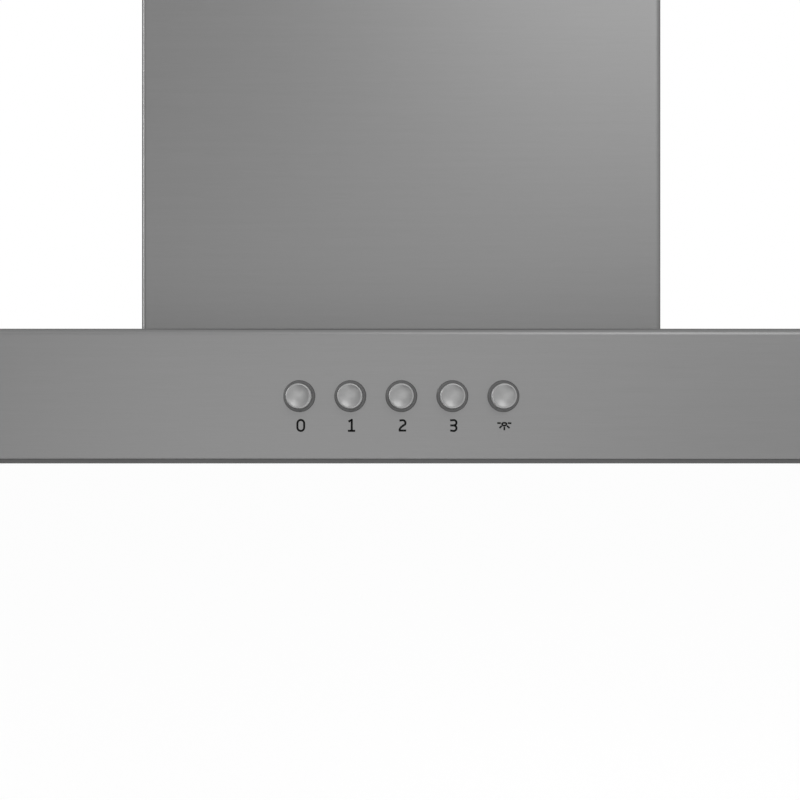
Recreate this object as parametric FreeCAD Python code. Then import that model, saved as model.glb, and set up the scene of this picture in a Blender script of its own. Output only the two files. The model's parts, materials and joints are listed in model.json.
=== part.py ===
import FreeCAD, Part
import math
import os

from FreeCAD import Vector

# Wall-mounted box range hood: a slim stainless canopy with a telescopic chimney.
# Millimetres, +Z up. The wall is the plane Y = 0 and the fascia with its buttons faces -Y.
# The origin is on the wall, at the middle of the hood, level with its lowest edge.

# Driving dimensions: canopy
HOOD_W = 598.0  # outer width
HOOD_D = 500.0  # wall to fascia
CANOPY_H = 53.0  # underside rim to top deck
SHEET = 1.0  # stainless sheet
FOLD_INNER_R = 1.6  # inner radius of the folds
FOLD_LOW_R = 0.5  # outer radius of the grooved fold along the canopy's lower edge
FOLD_LOW_INNER_R = 0.2
RETURN_W = 14.0  # inward flange along the canopy's lower edge
PLATE_T = 0.7  # underside sheet
RIM_DROP = 1.0  # underside rim below its own plate
RIM_INSET = 0.8  # underside rim behind the fascia
RIM_W = 2.0
REAR_T = 1.5  # rear panel
REAR_FLANGE_W = 14.0
FIT = 0.2  # between pieces that are set into each other
WALL_SCREW_R = 3.0  # holes for the securing screws in the rear panel
WALL_SCREW_X = 240.0
WALL_SCREW_Z = 30.0

# Driving dimensions: underside and filters
SIDE_BORDER = 26.0  # underside plate beside the filters
MID_BORDER = 20.0
FRONT_BORDER = 92.0
REAR_BORDER = 34.0
UPSTAND_H = 8.0
FILTER_GAP = 1.5  # filter to its opening
FILTER_LIFT = 0.3  # filter above the rim's lowest edge
FILTER_T = 10.0
CHANNEL_T = 1.0  # sheet of the filter's channel frame
CHANNEL_W = 14.0
LUG_W = 18.0
LUG_L = 8.0
LUG_T = 1.5
LUG_INSET = 36.0
MESH_T = 0.8
MESH_FIT = 0.1
MESH_PITCH_X = 17.0
MESH_PITCH_Y = 18.0
MESH_STRAND = 3.5
POCKET_W = 64.0  # housing of the sliding handle in the filter's front edge
POCKET_D = 30.0
HANDLE_W = 52.0
HANDLE_D = 16.0
HANDLE_H = 4.8
HANDLE_GAP = 0.2
HANDLE_START = 0.5  # handle behind the front web at rest
PAD_INSET_X = 8.0  # finger pad inside the handle's outline
PAD_INSET_Y = 2.0
SCOOP_R = 8.0
SCOOP_DEPTH = 1.6
LATCH_TRAVEL = 5.0
TONGUE_W = 30.0
TONGUE_T = 0.6
TONGUE_REACH = 4.0  # latch spring over the underside plate
TONGUE_GAP = 0.3

# Driving dimensions: controls
BUTTON_COUNT = 5
BUTTON_PITCH = 20.0
BUTTON_Z = 26.4
BUTTON_R = 4.85
BUTTON_PROUD = 6.5  # button face in front of the fascia
BUTTON_TRAVEL = 3.5
BUTTON_GAP = 0.15  # button to its collar
RIM_LAND = 0.5  # raised rim around the dished face
RIM_STEP = 0.15  # height of the rim's sloping inner wall
RIM_LEAN = 0.3
RIM_INNER_R = 0.2
COVE_R = 1.2  # hollow where that wall runs into the dish
DISH_DEPTH = 0.6  # dish below the inner wall
BUTTON_EDGE_R = 0.4
COLLAR_R = 6.15
COLLAR_PROUD = 0.5
COLLAR_EDGE = 0.3
COLLAR_FIT = 0.1
BUTTON_FLANGE_R = 6.8
BUTTON_FLANGE_T = 1.5
STOP_GAP = 0.1
STEM_R = 2.5
STEM_IN = 2.0  # stem inside the contact block at rest
STEM_FIT = 0.15
SPRING_R = 4.2
SPRING_WIRE_R = 0.4
SPRING_L = 14.0
SPRING_TURNS = 6
SWITCH_FRONT_T = 4.0
SWITCH_WALL = 2.0
SWITCH_END = 12.0  # last button to the end of the switch housing
SWITCH_HALF_H = 11.0
SWITCH_TAIL = 15.0  # length of the contact block
EAR_L = 14.0
EAR_T = 3.0
EAR_HALF_H = 8.0
STUD_R = 1.5
STUD_L = 9.0
STUD_FIT = 0.2
NUT_T = 2.4
NUT_R = 3.2
BLADE_T_TERMINAL = 0.8
BLADE_W_TERMINAL = 4.8
BLADE_L_TERMINAL = 8.0
BLADE_OFFSET = 4.0

# Driving dimensions: lamps
LAMP_X = 150.0
LAMP_SET = 46.0  # lamp centre behind the fascia
LAMP_R = 27.0
LAMP_WALL = 2.0
LAMP_H = 21.0
LAMP_BEZEL_W = 5.0
LAMP_BEZEL_T = 0.8
LENS_FIT = 0.2
LENS_T = 2.5
LENS_LEDGE = 2.0
LED_BOARD_T = 1.6
LED_BOARD_R = 20.0
DRIVER_L = 70.0
DRIVER_W = 30.0
DRIVER_H = 20.0
DRIVER_X = -75.0
DRIVER_SET = 60.0  # driver centre behind the fascia

# Driving dimensions: chimney
CHIMNEY_W = 280.0
CHIMNEY_D = 276.0
LOWER_H = 500.0
UPPER_SHOW = 30.0  # upper section above the lower one at rest
TELESCOPE_GAP = 1.5
REAR_FLANGE = 10.0  # return flange along the open back
SLOT_COUNT = 6
SLOT_L = 90.0
SLOT_H = 6.0
SLOT_PITCH = 14.0
SLOT_START = 30.0
CLIP_W = 40.0
CLIP_H = 30.0
CLIP_T = 3.0
CLIP_FOOT_T = 2.0
CLIP_SET = 160.0  # clip centre from the wall
CLIP_GAP = 0.3
BRACKET_H = 28.0
BRACKET_T = 1.5
BRACKET_DROP = 4.0  # bracket below the chimney's top edge
BRACKET_HALF = 100.0  # half of the stretch that lies on the wall
BRACKET_EAR = 36.0
BRACKET_BOLT_X = 80.0
BRACKET_BOLT_R = 3.0

# Driving dimensions: fan unit
BOX_GAP = 2.5  # fan box to the chimney's flange and front
BOX_T = 1.0
BOX_FLANGE_W = 14.0
HANG_X = 105.0  # hanging holes in the fan box's back
HANG_DROP = 40.0
HANG_R = 4.25
AIR_GAP = 22.0  # scroll above the deck
INLET_GAP = 38.0  # scroll to the side walls of the box
SCROLL_GAP = 3.0
SCROLL_WALL = 2.5
SCROLL_GROWTH = 28.0  # step of the spiral at each quarter turn
SCROLL_NECK = 24.0
SCROLL_FLANGE_W = 11.0
SCROLL_FLANGE_T = 3.0
BOSS_R = 5.0
BOSS_L = 10.0
CUTOFF_GAP = 8.0
IMPELLER_GAP = 5.0
BLADE_COUNT = 32
BLADE_DEPTH = 15.0
BLADE_T = 1.2
BLADE_SWEEP = 9.0  # degrees from root to tip
END_RING_W = 4.0
DISC_T = 3.0
HUB_R = 12.0
HUB_L = 22.0
SHAFT_R = 4.0
SHAFT_FIT = 0.04
SHAFT_END = 8.0  # shaft past the hub, under the nut
MOTOR_GAP = 16.0  # motor to the blades
MOTOR_OFF = 4.0  # motor to the hub
MOTOR_WALL = 2.0
MOTOR_FIT = 0.1
CAP_T = 3.0
CAP_BOSS_L = 9.0
CAP_BOSS_R = 20.0
BEARING_R = 9.0
BEARING_L = 8.0
CORE_START = 16.0  # core behind the motor's inner end
ROTOR_R = 25.5
AIR_RING = 0.5  # rotor to stator
WINDING_L = 6.0
WINDING_INSET = 4.0
WINDING_GAP = 8.0  # windings to the end cap
SPIDER_T = 2.5
SPIDER_ARM_W = 16.0
SPIDER_RING_R = 34.0
SPIDER_HOLE_R = 14.0
SPIDER_BOLT_SET = 8.0  # bracket bolts outside the inlet
SPIDER_PAD = 6.0
GROMMET_T = 3.0
GROMMET_R = 6.0
CAPACITOR_T = 22.0
CAPACITOR_W = 50.0
CAPACITOR_H = 36.0
CAPACITOR_SET = 12.0
TERMINAL_EDGE = 15.0  # terminal box to the fan box's side
TERMINAL_W = 96.0
TERMINAL_D = 62.0
TERMINAL_H = 30.0
TERMINAL_T = 2.0
TERMINAL_SET = 6.0
GLAND_R = 8.0
GLAND_BORE_R = 4.0
GLAND_H = 16.0
GLAND_OFF = 20.0  # gland from the terminal box's middle
CABLE_R = 3.0
CABLE_FIT = 0.3
CABLE_TAIL = 6.0  # cable inside the terminal box
CABLE_LEAD = 38.0  # straight run out of the switch
CABLE_RISE = 42.0  # run in which it climbs to the deck
CABLE_DROP = 7.0  # cable's middle below the deck
CABLE_SIDE = 21.0  # from the fan box's side
CABLE_BACK = 36.0  # from the fan box's front
CABLE_INSET = 9.0  # from the terminal box's end

# Driving dimensions: duct outlet
SPIGOT_R = 74.5
SPIGOT_WALL = 2.0
SPIGOT_H = 45.0
SPIGOT_FLANGE_T = 3.0
SPIGOT_FLANGE_EDGE = 11.0
SPIGOT_FOOT_STEP = 2.0  # shoulder at the collar's foot, which the duct rests on
SPIGOT_LIP_W = 3.0
SPIGOT_LIP_T = 1.2
FLAP_UP = 14.0  # flap hinges above the flange
FLAP_T = 1.6
FLAP_GAP = 0.8
HINGE_OFF = 5.0
BARREL_R = 2.2
PIN_R = 1.5
PIN_FIT = 0.06
PIN_IN = 1.3  # pin inside the spigot's wall
LEDGE_W = 3.0
LEDGE_T = 2.0
LEDGE_GAP = 0.3
BAR_HALF = 2.0
BAR_H = 6.0

# Driving dimensions: screws
SCREW_R = 1.9
SCREW_HEAD_R = 3.6
SCREW_HEAD_H = 2.2
SCREW_L = 6.0
SCREW_FIT = 0.15
LOW_HEAD_H = 0.8
FRONT_SCREW_X = (70.0, 210.0)  # along the canopy's front edge, from its middle
SIDE_SCREW_Y = (150.0, 350.0)  # along its sides, from the wall
REAR_SCREW_X = 150.0
DECK_SCREW_X = 210.0
BOX_SCREW_SET = 40.0  # fan box screws from its front and its back
SWITCH_SCREW_SET = 4.0  # switch screws inside the housing's end walls
BRACKET_SCREW_SET = 24.0  # chimney screws in front of its back edge

# Places that follow from the dimensions above
X, Y, Z = Vector(1, 0, 0), Vector(0, 1, 0), Vector(0, 0, 1)
PAST = 5.0  # cutters run this far past a face
FOLD_R = FOLD_INNER_R + SHEET
LIP_Z = PLATE_T + RIM_DROP
FASCIA_Y = -HOOD_D
FASCIA_BACK = FASCIA_Y + SHEET
DECK_UNDER = CANOPY_H - SHEET
RETURN_X = HOOD_W / 2 - SHEET - RETURN_W
PLATE_REAR = -REAR_T - FIT

FILTER_Y0 = FASCIA_Y + FRONT_BORDER + FILTER_GAP
FILTER_Y1 = -REAR_BORDER - FILTER_GAP
FILTER_TOP = FILTER_LIFT + FILTER_T
LUG_Z = LIP_Z + TONGUE_GAP
HANDLE_Y0 = FILTER_Y0 + CHANNEL_T + HANDLE_START
HANDLE_Z0 = FILTER_LIFT + CHANNEL_T + HANDLE_GAP

COLLAR_BORE_R = BUTTON_R + BUTTON_GAP
SWITCH_HALF_W = (BUTTON_COUNT - 1) / 2 * BUTTON_PITCH + SWITCH_END
CAVITY_Y = FASCIA_BACK + SWITCH_FRONT_T
FLANGE_Y = CAVITY_Y + STOP_GAP
SPRING_Y = FLANGE_Y + BUTTON_FLANGE_T
BLOCK_Y = SPRING_Y + SPRING_L
SWITCH_REAR = BLOCK_Y + SWITCH_TAIL
EAR_X = SWITCH_HALF_W + EAR_L / 2

UPPER_HALF_W = CHIMNEY_W / 2 - SHEET - TELESCOPE_GAP
UPPER_REAR = -SHEET - TELESCOPE_GAP
UPPER_FRONT = -CHIMNEY_D + SHEET + TELESCOPE_GAP
CHIMNEY_TOP = CANOPY_H + LOWER_H + UPPER_SHOW
CLIP_TOP = CANOPY_H + CLIP_H
UPPER_Z0 = CLIP_TOP + CLIP_GAP

BOX_HALF_W = UPPER_HALF_W - REAR_FLANGE - BOX_GAP
BOX_FRONT = UPPER_FRONT + SHEET + BOX_GAP
BOX_DEPTH = -BOX_FRONT
SCROLL_R = (BOX_DEPTH - 2 * (BOX_T + SCROLL_GAP + SCROLL_WALL) - 3 * SCROLL_GROWTH) / 2
SCROLL_HALF_W = BOX_HALF_W - BOX_T - INLET_GAP
FAN_Y = BOX_FRONT + BOX_T + SCROLL_GAP + SCROLL_WALL + SCROLL_R
FAN_Z = CANOPY_H + AIR_GAP + SCROLL_WALL + SCROLL_R + SCROLL_GROWTH
OUTLET_D = SCROLL_R + 3 * SCROLL_GROWTH
SCROLL_TOP = FAN_Z + SCROLL_R + SCROLL_NECK
BOX_TOP = SCROLL_TOP + BOX_T
FAN_AXIS = Vector(0, FAN_Y, FAN_Z)

IMPELLER_R = SCROLL_R - CUTOFF_GAP
BLADE_ROOT_R = IMPELLER_R - BLADE_DEPTH
IMPELLER_HALF_W = SCROLL_HALF_W - SCROLL_WALL - IMPELLER_GAP
MOTOR_R = BLADE_ROOT_R - MOTOR_GAP
MOTOR_X0 = HUB_L / 2 + MOTOR_OFF
SPIDER_X = SCROLL_HALF_W + GROMMET_T
CAP_X = SPIDER_X - CAP_BOSS_L - CAP_T
SPIDER_BOLT_R = BLADE_ROOT_R + SPIDER_BOLT_SET
CORE_X = MOTOR_X0 + CORE_START
CORE_L = CAP_X - CORE_X - WINDING_L - WINDING_GAP

SPIGOT_Y = FAN_Y + OUTLET_D / 2
SPIGOT_AXIS = Vector(0, SPIGOT_Y, 0)
SPIGOT_BORE_R = SPIGOT_R - SPIGOT_WALL
SPIGOT_FOOT_R = SPIGOT_R + SPIGOT_FOOT_STEP
SPIGOT_LIP_R = SPIGOT_FOOT_R + SPIGOT_LIP_W
SPIGOT_LIP_Z = BOX_TOP + SPIGOT_LIP_T
SPIGOT_Z = BOX_TOP + SPIGOT_FLANGE_T
SPIGOT_TOP = SPIGOT_Z + SPIGOT_H
FLAP_Z = SPIGOT_Z + FLAP_UP
TERMINAL_X = BOX_HALF_W - TERMINAL_EDGE - TERMINAL_W / 2
TERMINAL_Y0 = BOX_FRONT + TERMINAL_SET
TERMINAL_TOP = BOX_TOP + TERMINAL_H


def block(x0, x1, y0, y1, z0, z1):
    return Part.makeBox(x1 - x0, y1 - y0, z1 - z0, Vector(x0, y0, z0))


def rod(radius, start, end):
    run = end - start
    return Part.makeCylinder(radius, run.Length, start, run)


def tube(outer, inner, start, end):
    return rod(outer, start, end).cut(rod(inner, start, end))


def joined(shapes):
    first, *rest = shapes
    return first.multiFuse(rest).removeSplitter()


def turned(profile, base, axis, side):
    """Solid of revolution: profile holds (radius, distance along the axis) pairs."""
    points = [base + axis * along + side * radius for radius, along in profile]
    face = Part.Face(Part.makePolygon(points + points[:1]))
    return face.revolve(base, axis, 360)


def prism(points, run):
    return Part.Face(Part.makePolygon(points + points[:1])).extrude(run)


def corner_arc(first, corner, last):
    """Arc that leaves first and reaches last along their lines to the corner."""
    turn = (corner - first).getAngle(last - corner)
    radius = (corner - first).Length / math.tan(turn / 2)
    inward = (first + last) * 0.5 - corner
    hub = corner + inward.normalize() * (radius / math.cos(turn / 2))
    middle = hub + (corner - hub).normalize() * radius
    return Part.Arc(first, middle, last).toShape()


def coil_path(radius, height, turns):
    """Coil along Z: each quarter turn is two arcs that meet with one tangent."""
    quarter_turn = math.pi / 2
    slope = height / (turns * 4 * quarter_turn)

    def spot(number):
        angle = number * quarter_turn
        return Vector(radius * math.cos(angle), radius * math.sin(angle), slope * angle)

    def heading(number):
        angle = number * quarter_turn
        return Vector(-radius * math.sin(angle), radius * math.cos(angle), slope).normalize()

    edges = []
    for number in range(turns * 4):
        first, last = spot(number), spot(number + 1)
        out, into = heading(number), heading(number + 1)
        run = last - first
        a, b = 2 * (1 - out.dot(into)), run.dot(out + into)
        reach = (math.sqrt(b * b + a * run.dot(run)) - b) / a
        near, far = first + out * reach, last - into * reach
        meet = (near + far) * 0.5
        edges += [corner_arc(first, near, meet), corner_arc(meet, far, last)]
    return Part.Wire(edges), heading(0)


def runs_along(edge, direction):
    if edge.Curve.TypeId != "Part::GeomLine":
        return False
    run = edge.Vertexes[-1].Point - edge.Vertexes[0].Point
    return abs(abs(run.normalize().dot(direction)) - 1) < 1e-6


def edges_on(shape, direction, test):
    """Straight edges along a direction whose middle passes the test."""
    return [e for e in shape.Edges if runs_along(e, direction) and test(e.CenterOfMass)]


def hexagon(radius, start, end):
    run = end - start
    side = Z if abs(run.normalize().dot(Z)) < 0.5 else X
    turn = run.cross(side)
    corners = []
    for step in range(6):
        angle = math.radians(60 * step)
        corners.append(start + side * (radius * math.cos(angle)) + turn * (radius * math.sin(angle)))
    return prism(corners, end - start)


def screw(seat, run, length=SCREW_L, head_h=SCREW_HEAD_H):
    """Pan-head screw: its head rests on seat and its shank goes along run."""
    side = X if abs(run.dot(X)) < 0.5 else Y
    other = run.cross(side)
    head_top = seat - run * head_h
    body = joined([rod(SCREW_HEAD_R, seat, head_top), rod(SCREW_R, seat, seat + run * length)])
    arm, half, deep = SCREW_HEAD_R * 0.6, SCREW_HEAD_R * 0.14, head_h * 0.5
    for long, short in ((side, other), (other, side)):
        corners = [
            head_top + long * (arm * u) + short * (half * v)
            for u, v in ((-1, -1), (1, -1), (1, 1), (-1, 1))
        ]
        body = body.cut(prism(corners, run * deep))
    return body


def screw_hole(seat, run, length=SCREW_L):
    return rod(SCREW_R + SCREW_FIT, seat - run * PAST, seat + run * (length + PAST))


def mirrored(x):
    return (-x, x)


# Where the screws sit: (seat, direction) pairs, shared by the screws and their holes
def underside_screws():
    front_y = FASCIA_BACK + RETURN_W / 2
    side_x = HOOD_W / 2 - SHEET - RETURN_W / 2
    seats = [Vector(x, front_y, RIM_DROP) for near in FRONT_SCREW_X for x in mirrored(near)]
    seats += [Vector(x, -y, RIM_DROP) for x in mirrored(side_x) for y in SIDE_SCREW_Y]
    seats += [Vector(x, -REAR_T - REAR_FLANGE_W / 2, RIM_DROP) for x in mirrored(REAR_SCREW_X)]
    return [(seat, Z) for seat in seats]


def rear_panel_screws():
    return [(Vector(x, -REAR_T - REAR_FLANGE_W / 2, CANOPY_H), -Z) for x in mirrored(DECK_SCREW_X)]


def box_screws():
    x = BOX_HALF_W - BOX_T - BOX_FLANGE_W / 2
    spots = (BOX_FRONT + BOX_SCREW_SET, -BOX_SCREW_SET)
    return [(Vector(sx, y, CANOPY_H + BOX_T), -Z) for sx in mirrored(x) for y in spots]


def clip_screws():
    x = CHIMNEY_W / 2 - SHEET - CLIP_T - (UPPER_HALF_W - CLIP_T - BOX_HALF_W) / 2
    return [(Vector(sx, -CLIP_SET, CANOPY_H + CLIP_FOOT_T), -Z) for sx in mirrored(x)]


def outlet_screws():
    x = SCROLL_HALF_W + SCROLL_FLANGE_W / 2
    return [
        (Vector(sx, SPIGOT_Y + y, SPIGOT_Z), -Z) for sx in mirrored(x) for y in mirrored(OUTLET_D / 4)
    ]


def switch_screws():
    x = SWITCH_HALF_W - SWITCH_WALL - SWITCH_SCREW_SET
    y = BLOCK_Y + SWITCH_TAIL / 2
    return [(Vector(sx, y, BUTTON_Z + SWITCH_HALF_H), -Z) for sx in mirrored(x)]


def bracket_screws():
    z = CHIMNEY_TOP - BRACKET_DROP - BRACKET_H / 2
    y = UPPER_REAR - BRACKET_SCREW_SET
    return [(Vector(side * UPPER_HALF_W, y, z), X * -side) for side in (-1, 1)]


def with_holes(shape, screws, length=SCREW_L):
    for seat, run in screws:
        shape = shape.cut(screw_hole(seat, run, length))
    return shape


def button_x(index):
    return (index - (BUTTON_COUNT - 1) / 2) * BUTTON_PITCH


def folded(x_half, y0, y1, z0, z1, radius, edges_of):
    solid = block(-x_half, x_half, y0, y1, z0, z1)
    return solid.makeFillet(radius, edges_of(solid))


# Canopy
def canopy_box(x_half, y0, y1, z0, z1, radius, low_radius):
    """Block with the canopy's folds, tighter along its lower edges and none along the wall."""
    def free(edge):
        return min(v.Y for v in edge.Vertexes) < y1 - 1e-6

    def low(edge):
        return max(v.Z for v in edge.Vertexes) < z0 + 1e-6

    solid = block(-x_half, x_half, y0, y1, z0, z1)
    solid = solid.makeFillet(radius, [e for e in solid.Edges if free(e) and not low(e)])
    return solid.makeFillet(low_radius, [e for e in solid.Edges if free(e) and low(e)])


def canopy_shell():
    outer = canopy_box(HOOD_W / 2, FASCIA_Y, 0, LIP_Z, CANOPY_H, FOLD_R, FOLD_LOW_R)
    inner = canopy_box(
        HOOD_W / 2 - SHEET, FASCIA_BACK, PAST, LIP_Z + SHEET, DECK_UNDER, FOLD_INNER_R, FOLD_LOW_INNER_R
    )
    shell = outer.cut(inner)
    mouth = block(-RETURN_X, RETURN_X, FASCIA_BACK + RETURN_W, PAST, 0, LIP_Z + SHEET + PAST)
    shell = shell.cut(mouth)
    for index in range(BUTTON_COUNT):
        centre = Vector(button_x(index), 0, BUTTON_Z)
        shell = shell.cut(rod(COLLAR_R + COLLAR_FIT, centre + Y * (FASCIA_Y - PAST), centre + Y * CAVITY_Y))
    inset = BOX_T + BOX_FLANGE_W
    shell = shell.cut(
        block(
            -BOX_HALF_W + inset, BOX_HALF_W - inset, BOX_FRONT + inset,
            -REAR_T - REAR_FLANGE_W - FIT, DECK_UNDER - PAST, CANOPY_H + PAST,
        )
    )
    studs = [
        rod(STUD_R, Vector(x, FASCIA_BACK, BUTTON_Z), Vector(x, FASCIA_BACK + STUD_L, BUTTON_Z))
        for x in mirrored(EAR_X)
    ]
    shell = joined([shell] + studs)
    shell = with_holes(shell, underside_screws() + rear_panel_screws() + box_screws())
    return with_holes(shell, clip_screws())


def rear_panel():
    half = HOOD_W / 2 - SHEET - FIT
    top = DECK_UNDER - FIT
    low = LIP_Z + SHEET + FIT
    wide = block(-half, half, -REAR_T, 0, low, top)
    wide = wide.makeFillet(FOLD_INNER_R, edges_on(wide, Y, lambda c: True))
    foot = block(-RETURN_X + FIT, RETURN_X - FIT, -REAR_T, 0, 0, low)
    flange_y = -REAR_T - REAR_FLANGE_W
    flange_half = RETURN_X - FIT
    upper = block(-flange_half, flange_half, flange_y, -REAR_T, top - REAR_T, top)
    lower = block(-flange_half, flange_half, flange_y, -REAR_T, LIP_Z, LIP_Z + REAR_T)
    panel = joined([wide, foot, upper, lower])
    for x in mirrored(WALL_SCREW_X):
        panel = panel.cut(rod(WALL_SCREW_R, Vector(x, -REAR_T - PAST, WALL_SCREW_Z), Vector(x, PAST, WALL_SCREW_Z)))
    return with_holes(panel, underside_screws() + rear_panel_screws())


# Underside and filters
def filter_span(side):
    """Left and right edges of a filter, on side -1 or 1."""
    near = MID_BORDER / 2 + FILTER_GAP
    far = HOOD_W / 2 - SIDE_BORDER - FILTER_GAP
    return (-far, -near) if side < 0 else (near, far)


def lamp_centre(side):
    return Vector(side * LAMP_X, FASCIA_Y + LAMP_SET, 0)


def underside_frame():
    half = HOOD_W / 2 - RIM_INSET
    front = FASCIA_Y + RIM_INSET
    plate = block(-half, half, front, PLATE_REAR, RIM_DROP, LIP_Z)
    rim = block(-half, half, front, PLATE_REAR, 0, RIM_DROP)
    rim = rim.cut(block(-half + RIM_W, half - RIM_W, front + RIM_W, PAST, -PAST, LIP_Z))
    frame = joined([plate, rim])
    corners = edges_on(frame, Z, lambda c: c.y < front + 1e-6 and abs(c.x) > half - 1e-6)
    frame = frame.makeFillet(FOLD_R, corners)
    for side in (-1, 1):
        x0, x1 = filter_span(side)
        x0, x1 = x0 - FILTER_GAP, x1 + FILTER_GAP
        y0, y1 = FILTER_Y0 - FILTER_GAP, FILTER_Y1 + FILTER_GAP
        frame = frame.cut(block(x0, x1, y0, y1, -PAST, LIP_Z + PAST))
        ribs = [
            block(x0 - SHEET, x0, y0, y1, LIP_Z, LIP_Z + UPSTAND_H),
            block(x1, x1 + SHEET, y0, y1, LIP_Z, LIP_Z + UPSTAND_H),
        ]
        frame = joined([frame] + ribs)
        lamp = lamp_centre(side)
        frame = frame.cut(rod(LAMP_R + FIT, lamp - Z * PAST, lamp + Z * (LIP_Z + PAST)))
    return with_holes(frame, underside_screws())


def filter_frame(side):
    x0, x1 = filter_span(side)
    y0, y1, z0, z1 = FILTER_Y0, FILTER_Y1, FILTER_LIFT, FILTER_TOP
    middle = (x0 + x1) / 2
    frame = block(x0, x1, y0, y1, z0, z1)
    groove = block(
        x0 + CHANNEL_T, x1 - CHANNEL_T, y0 + CHANNEL_T, y1 - CHANNEL_T, z0 + CHANNEL_T, z1 - CHANNEL_T
    )
    window = block(
        x0 + CHANNEL_W, x1 - CHANNEL_W, y0 + CHANNEL_W, y1 - CHANNEL_W, z0 - PAST, z1 + PAST
    )
    frame = frame.cut(groove).cut(window)
    pocket = block(middle - POCKET_W / 2, middle + POCKET_W / 2, y0, y0 + POCKET_D, z0, z1)
    room = block(
        middle - POCKET_W / 2 + CHANNEL_T, middle + POCKET_W / 2 - CHANNEL_T,
        y0 + CHANNEL_T, y0 + POCKET_D - CHANNEL_T, z0 + CHANNEL_T, z1 - CHANNEL_T,
    )
    frame = joined([frame, pocket]).cut(room)
    pad_half = HANDLE_W / 2 - PAD_INSET_X + HANDLE_START
    pad_y0 = HANDLE_Y0 + PAD_INSET_Y - HANDLE_START
    pad_y1 = HANDLE_Y0 + HANDLE_D - PAD_INSET_Y + LATCH_TRAVEL + HANDLE_START
    frame = frame.cut(block(middle - pad_half, middle + pad_half, pad_y0, pad_y1, z0 - PAST, z0 + CHANNEL_T))
    slot_half = TONGUE_W / 2 + HANDLE_START
    frame = frame.cut(
        block(
            middle - slot_half, middle + slot_half, y0 - PAST, y0 + CHANNEL_T,
            LUG_Z - TONGUE_GAP, LUG_Z + TONGUE_T + TONGUE_GAP,
        )
    )
    lugs = []
    for x in (x0 + LUG_INSET, x1 - LUG_INSET):
        lugs.append(block(x - LUG_W / 2, x + LUG_W / 2, y1 - CHANNEL_T, y1 + LUG_L, LUG_Z, LUG_Z + LUG_T))
    return joined([frame] + lugs)


def mesh_sheet(side, z):
    """One layer of expanded metal: a holed face with a notch for the handle's housing."""
    x0, x1 = filter_span(side)
    edge = CHANNEL_T + MESH_FIT
    x0, x1, y0, y1 = x0 + edge, x1 - edge, FILTER_Y0 + edge, FILTER_Y1 - edge
    middle = (x0 + x1) / 2
    notch_half = POCKET_W / 2 + MESH_FIT
    notch_y = FILTER_Y0 + POCKET_D + MESH_FIT
    outline = [
        (x0, y0), (middle - notch_half, y0), (middle - notch_half, notch_y), (middle + notch_half, notch_y),
        (middle + notch_half, y0), (x1, y0), (x1, y1), (x0, y1),
    ]
    wires = [Part.makePolygon([Vector(x, y, z) for x, y in outline + outline[:1]])]
    open_x0, open_x1 = x0 + CHANNEL_W - edge, x1 - CHANNEL_W + edge
    open_y0, open_y1 = y0 + CHANNEL_W - edge, y1 - CHANNEL_W + edge
    columns = int((open_x1 - open_x0) / MESH_PITCH_X)
    rows = int((open_y1 - open_y0) / MESH_PITCH_Y)
    rx, ry = (MESH_PITCH_X - MESH_STRAND) / 2, (MESH_PITCH_Y - MESH_STRAND) / 2
    for row in range(rows):
        for column in range(columns):
            x = middle + (column - (columns - 1) / 2) * MESH_PITCH_X
            y = (open_y0 + open_y1) / 2 + (row - (rows - 1) / 2) * MESH_PITCH_Y
            if abs(x - middle) < notch_half + rx and y < notch_y + ry:
                continue
            corners = [Vector(x - rx, y, z), Vector(x, y - ry, z), Vector(x + rx, y, z), Vector(x, y + ry, z)]
            wires.append(Part.makePolygon(corners + corners[:1]))
    return Part.Face(wires, "Part::FaceMakerBullseye").extrude(Z * MESH_T)


def filter_mesh(side):
    low = FILTER_LIFT + CHANNEL_T + MESH_FIT
    high = FILTER_TOP - CHANNEL_T - MESH_FIT - MESH_T
    return Part.makeCompound([mesh_sheet(side, z) for z in (low, high)])


def filter_handle(side):
    middle = sum(filter_span(side)) / 2
    half = HANDLE_W / 2
    body = block(middle - half, middle + half, HANDLE_Y0, HANDLE_Y0 + HANDLE_D, HANDLE_Z0, HANDLE_Z0 + HANDLE_H)
    pad_half = half - PAD_INSET_X
    pad_y0, pad_y1 = HANDLE_Y0 + PAD_INSET_Y, HANDLE_Y0 + HANDLE_D - PAD_INSET_Y
    pad = block(middle - pad_half, middle + pad_half, pad_y0, pad_y1, FILTER_LIFT, HANDLE_Z0)
    handle = joined([body, pad])
    scoop = Vector(middle, (pad_y0 + pad_y1) / 2, FILTER_LIFT + SCOOP_DEPTH - SCOOP_R)
    reach = X * (pad_half - PAD_INSET_Y)
    return handle.cut(rod(SCOOP_R, scoop - reach, scoop + reach))


def filter_latch_spring(side):
    middle = sum(filter_span(side)) / 2
    tip = FILTER_Y0 - FILTER_GAP - TONGUE_REACH
    return block(
        middle - TONGUE_W / 2, middle + TONGUE_W / 2, tip, HANDLE_Y0, LUG_Z, LUG_Z + TONGUE_T
    )


# Lamps
def lamp_housing(side):
    centre = lamp_centre(side)
    low = RIM_DROP - LAMP_BEZEL_T
    ledge = RIM_DROP + LENS_T
    bezel = tube(LAMP_R + LAMP_BEZEL_W, LAMP_R - LAMP_WALL, centre + Z * low, centre + Z * RIM_DROP)
    cup = rod(LAMP_R, centre + Z * low, centre + Z * LAMP_H)
    bore = rod(LAMP_R - LAMP_WALL, centre + Z * (low - PAST), centre + Z * ledge)
    hollow = rod(LAMP_R - LAMP_WALL - LENS_LEDGE, centre + Z * low, centre + Z * (LAMP_H - LAMP_WALL))
    return joined([bezel, cup]).cut(bore).cut(hollow)


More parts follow.
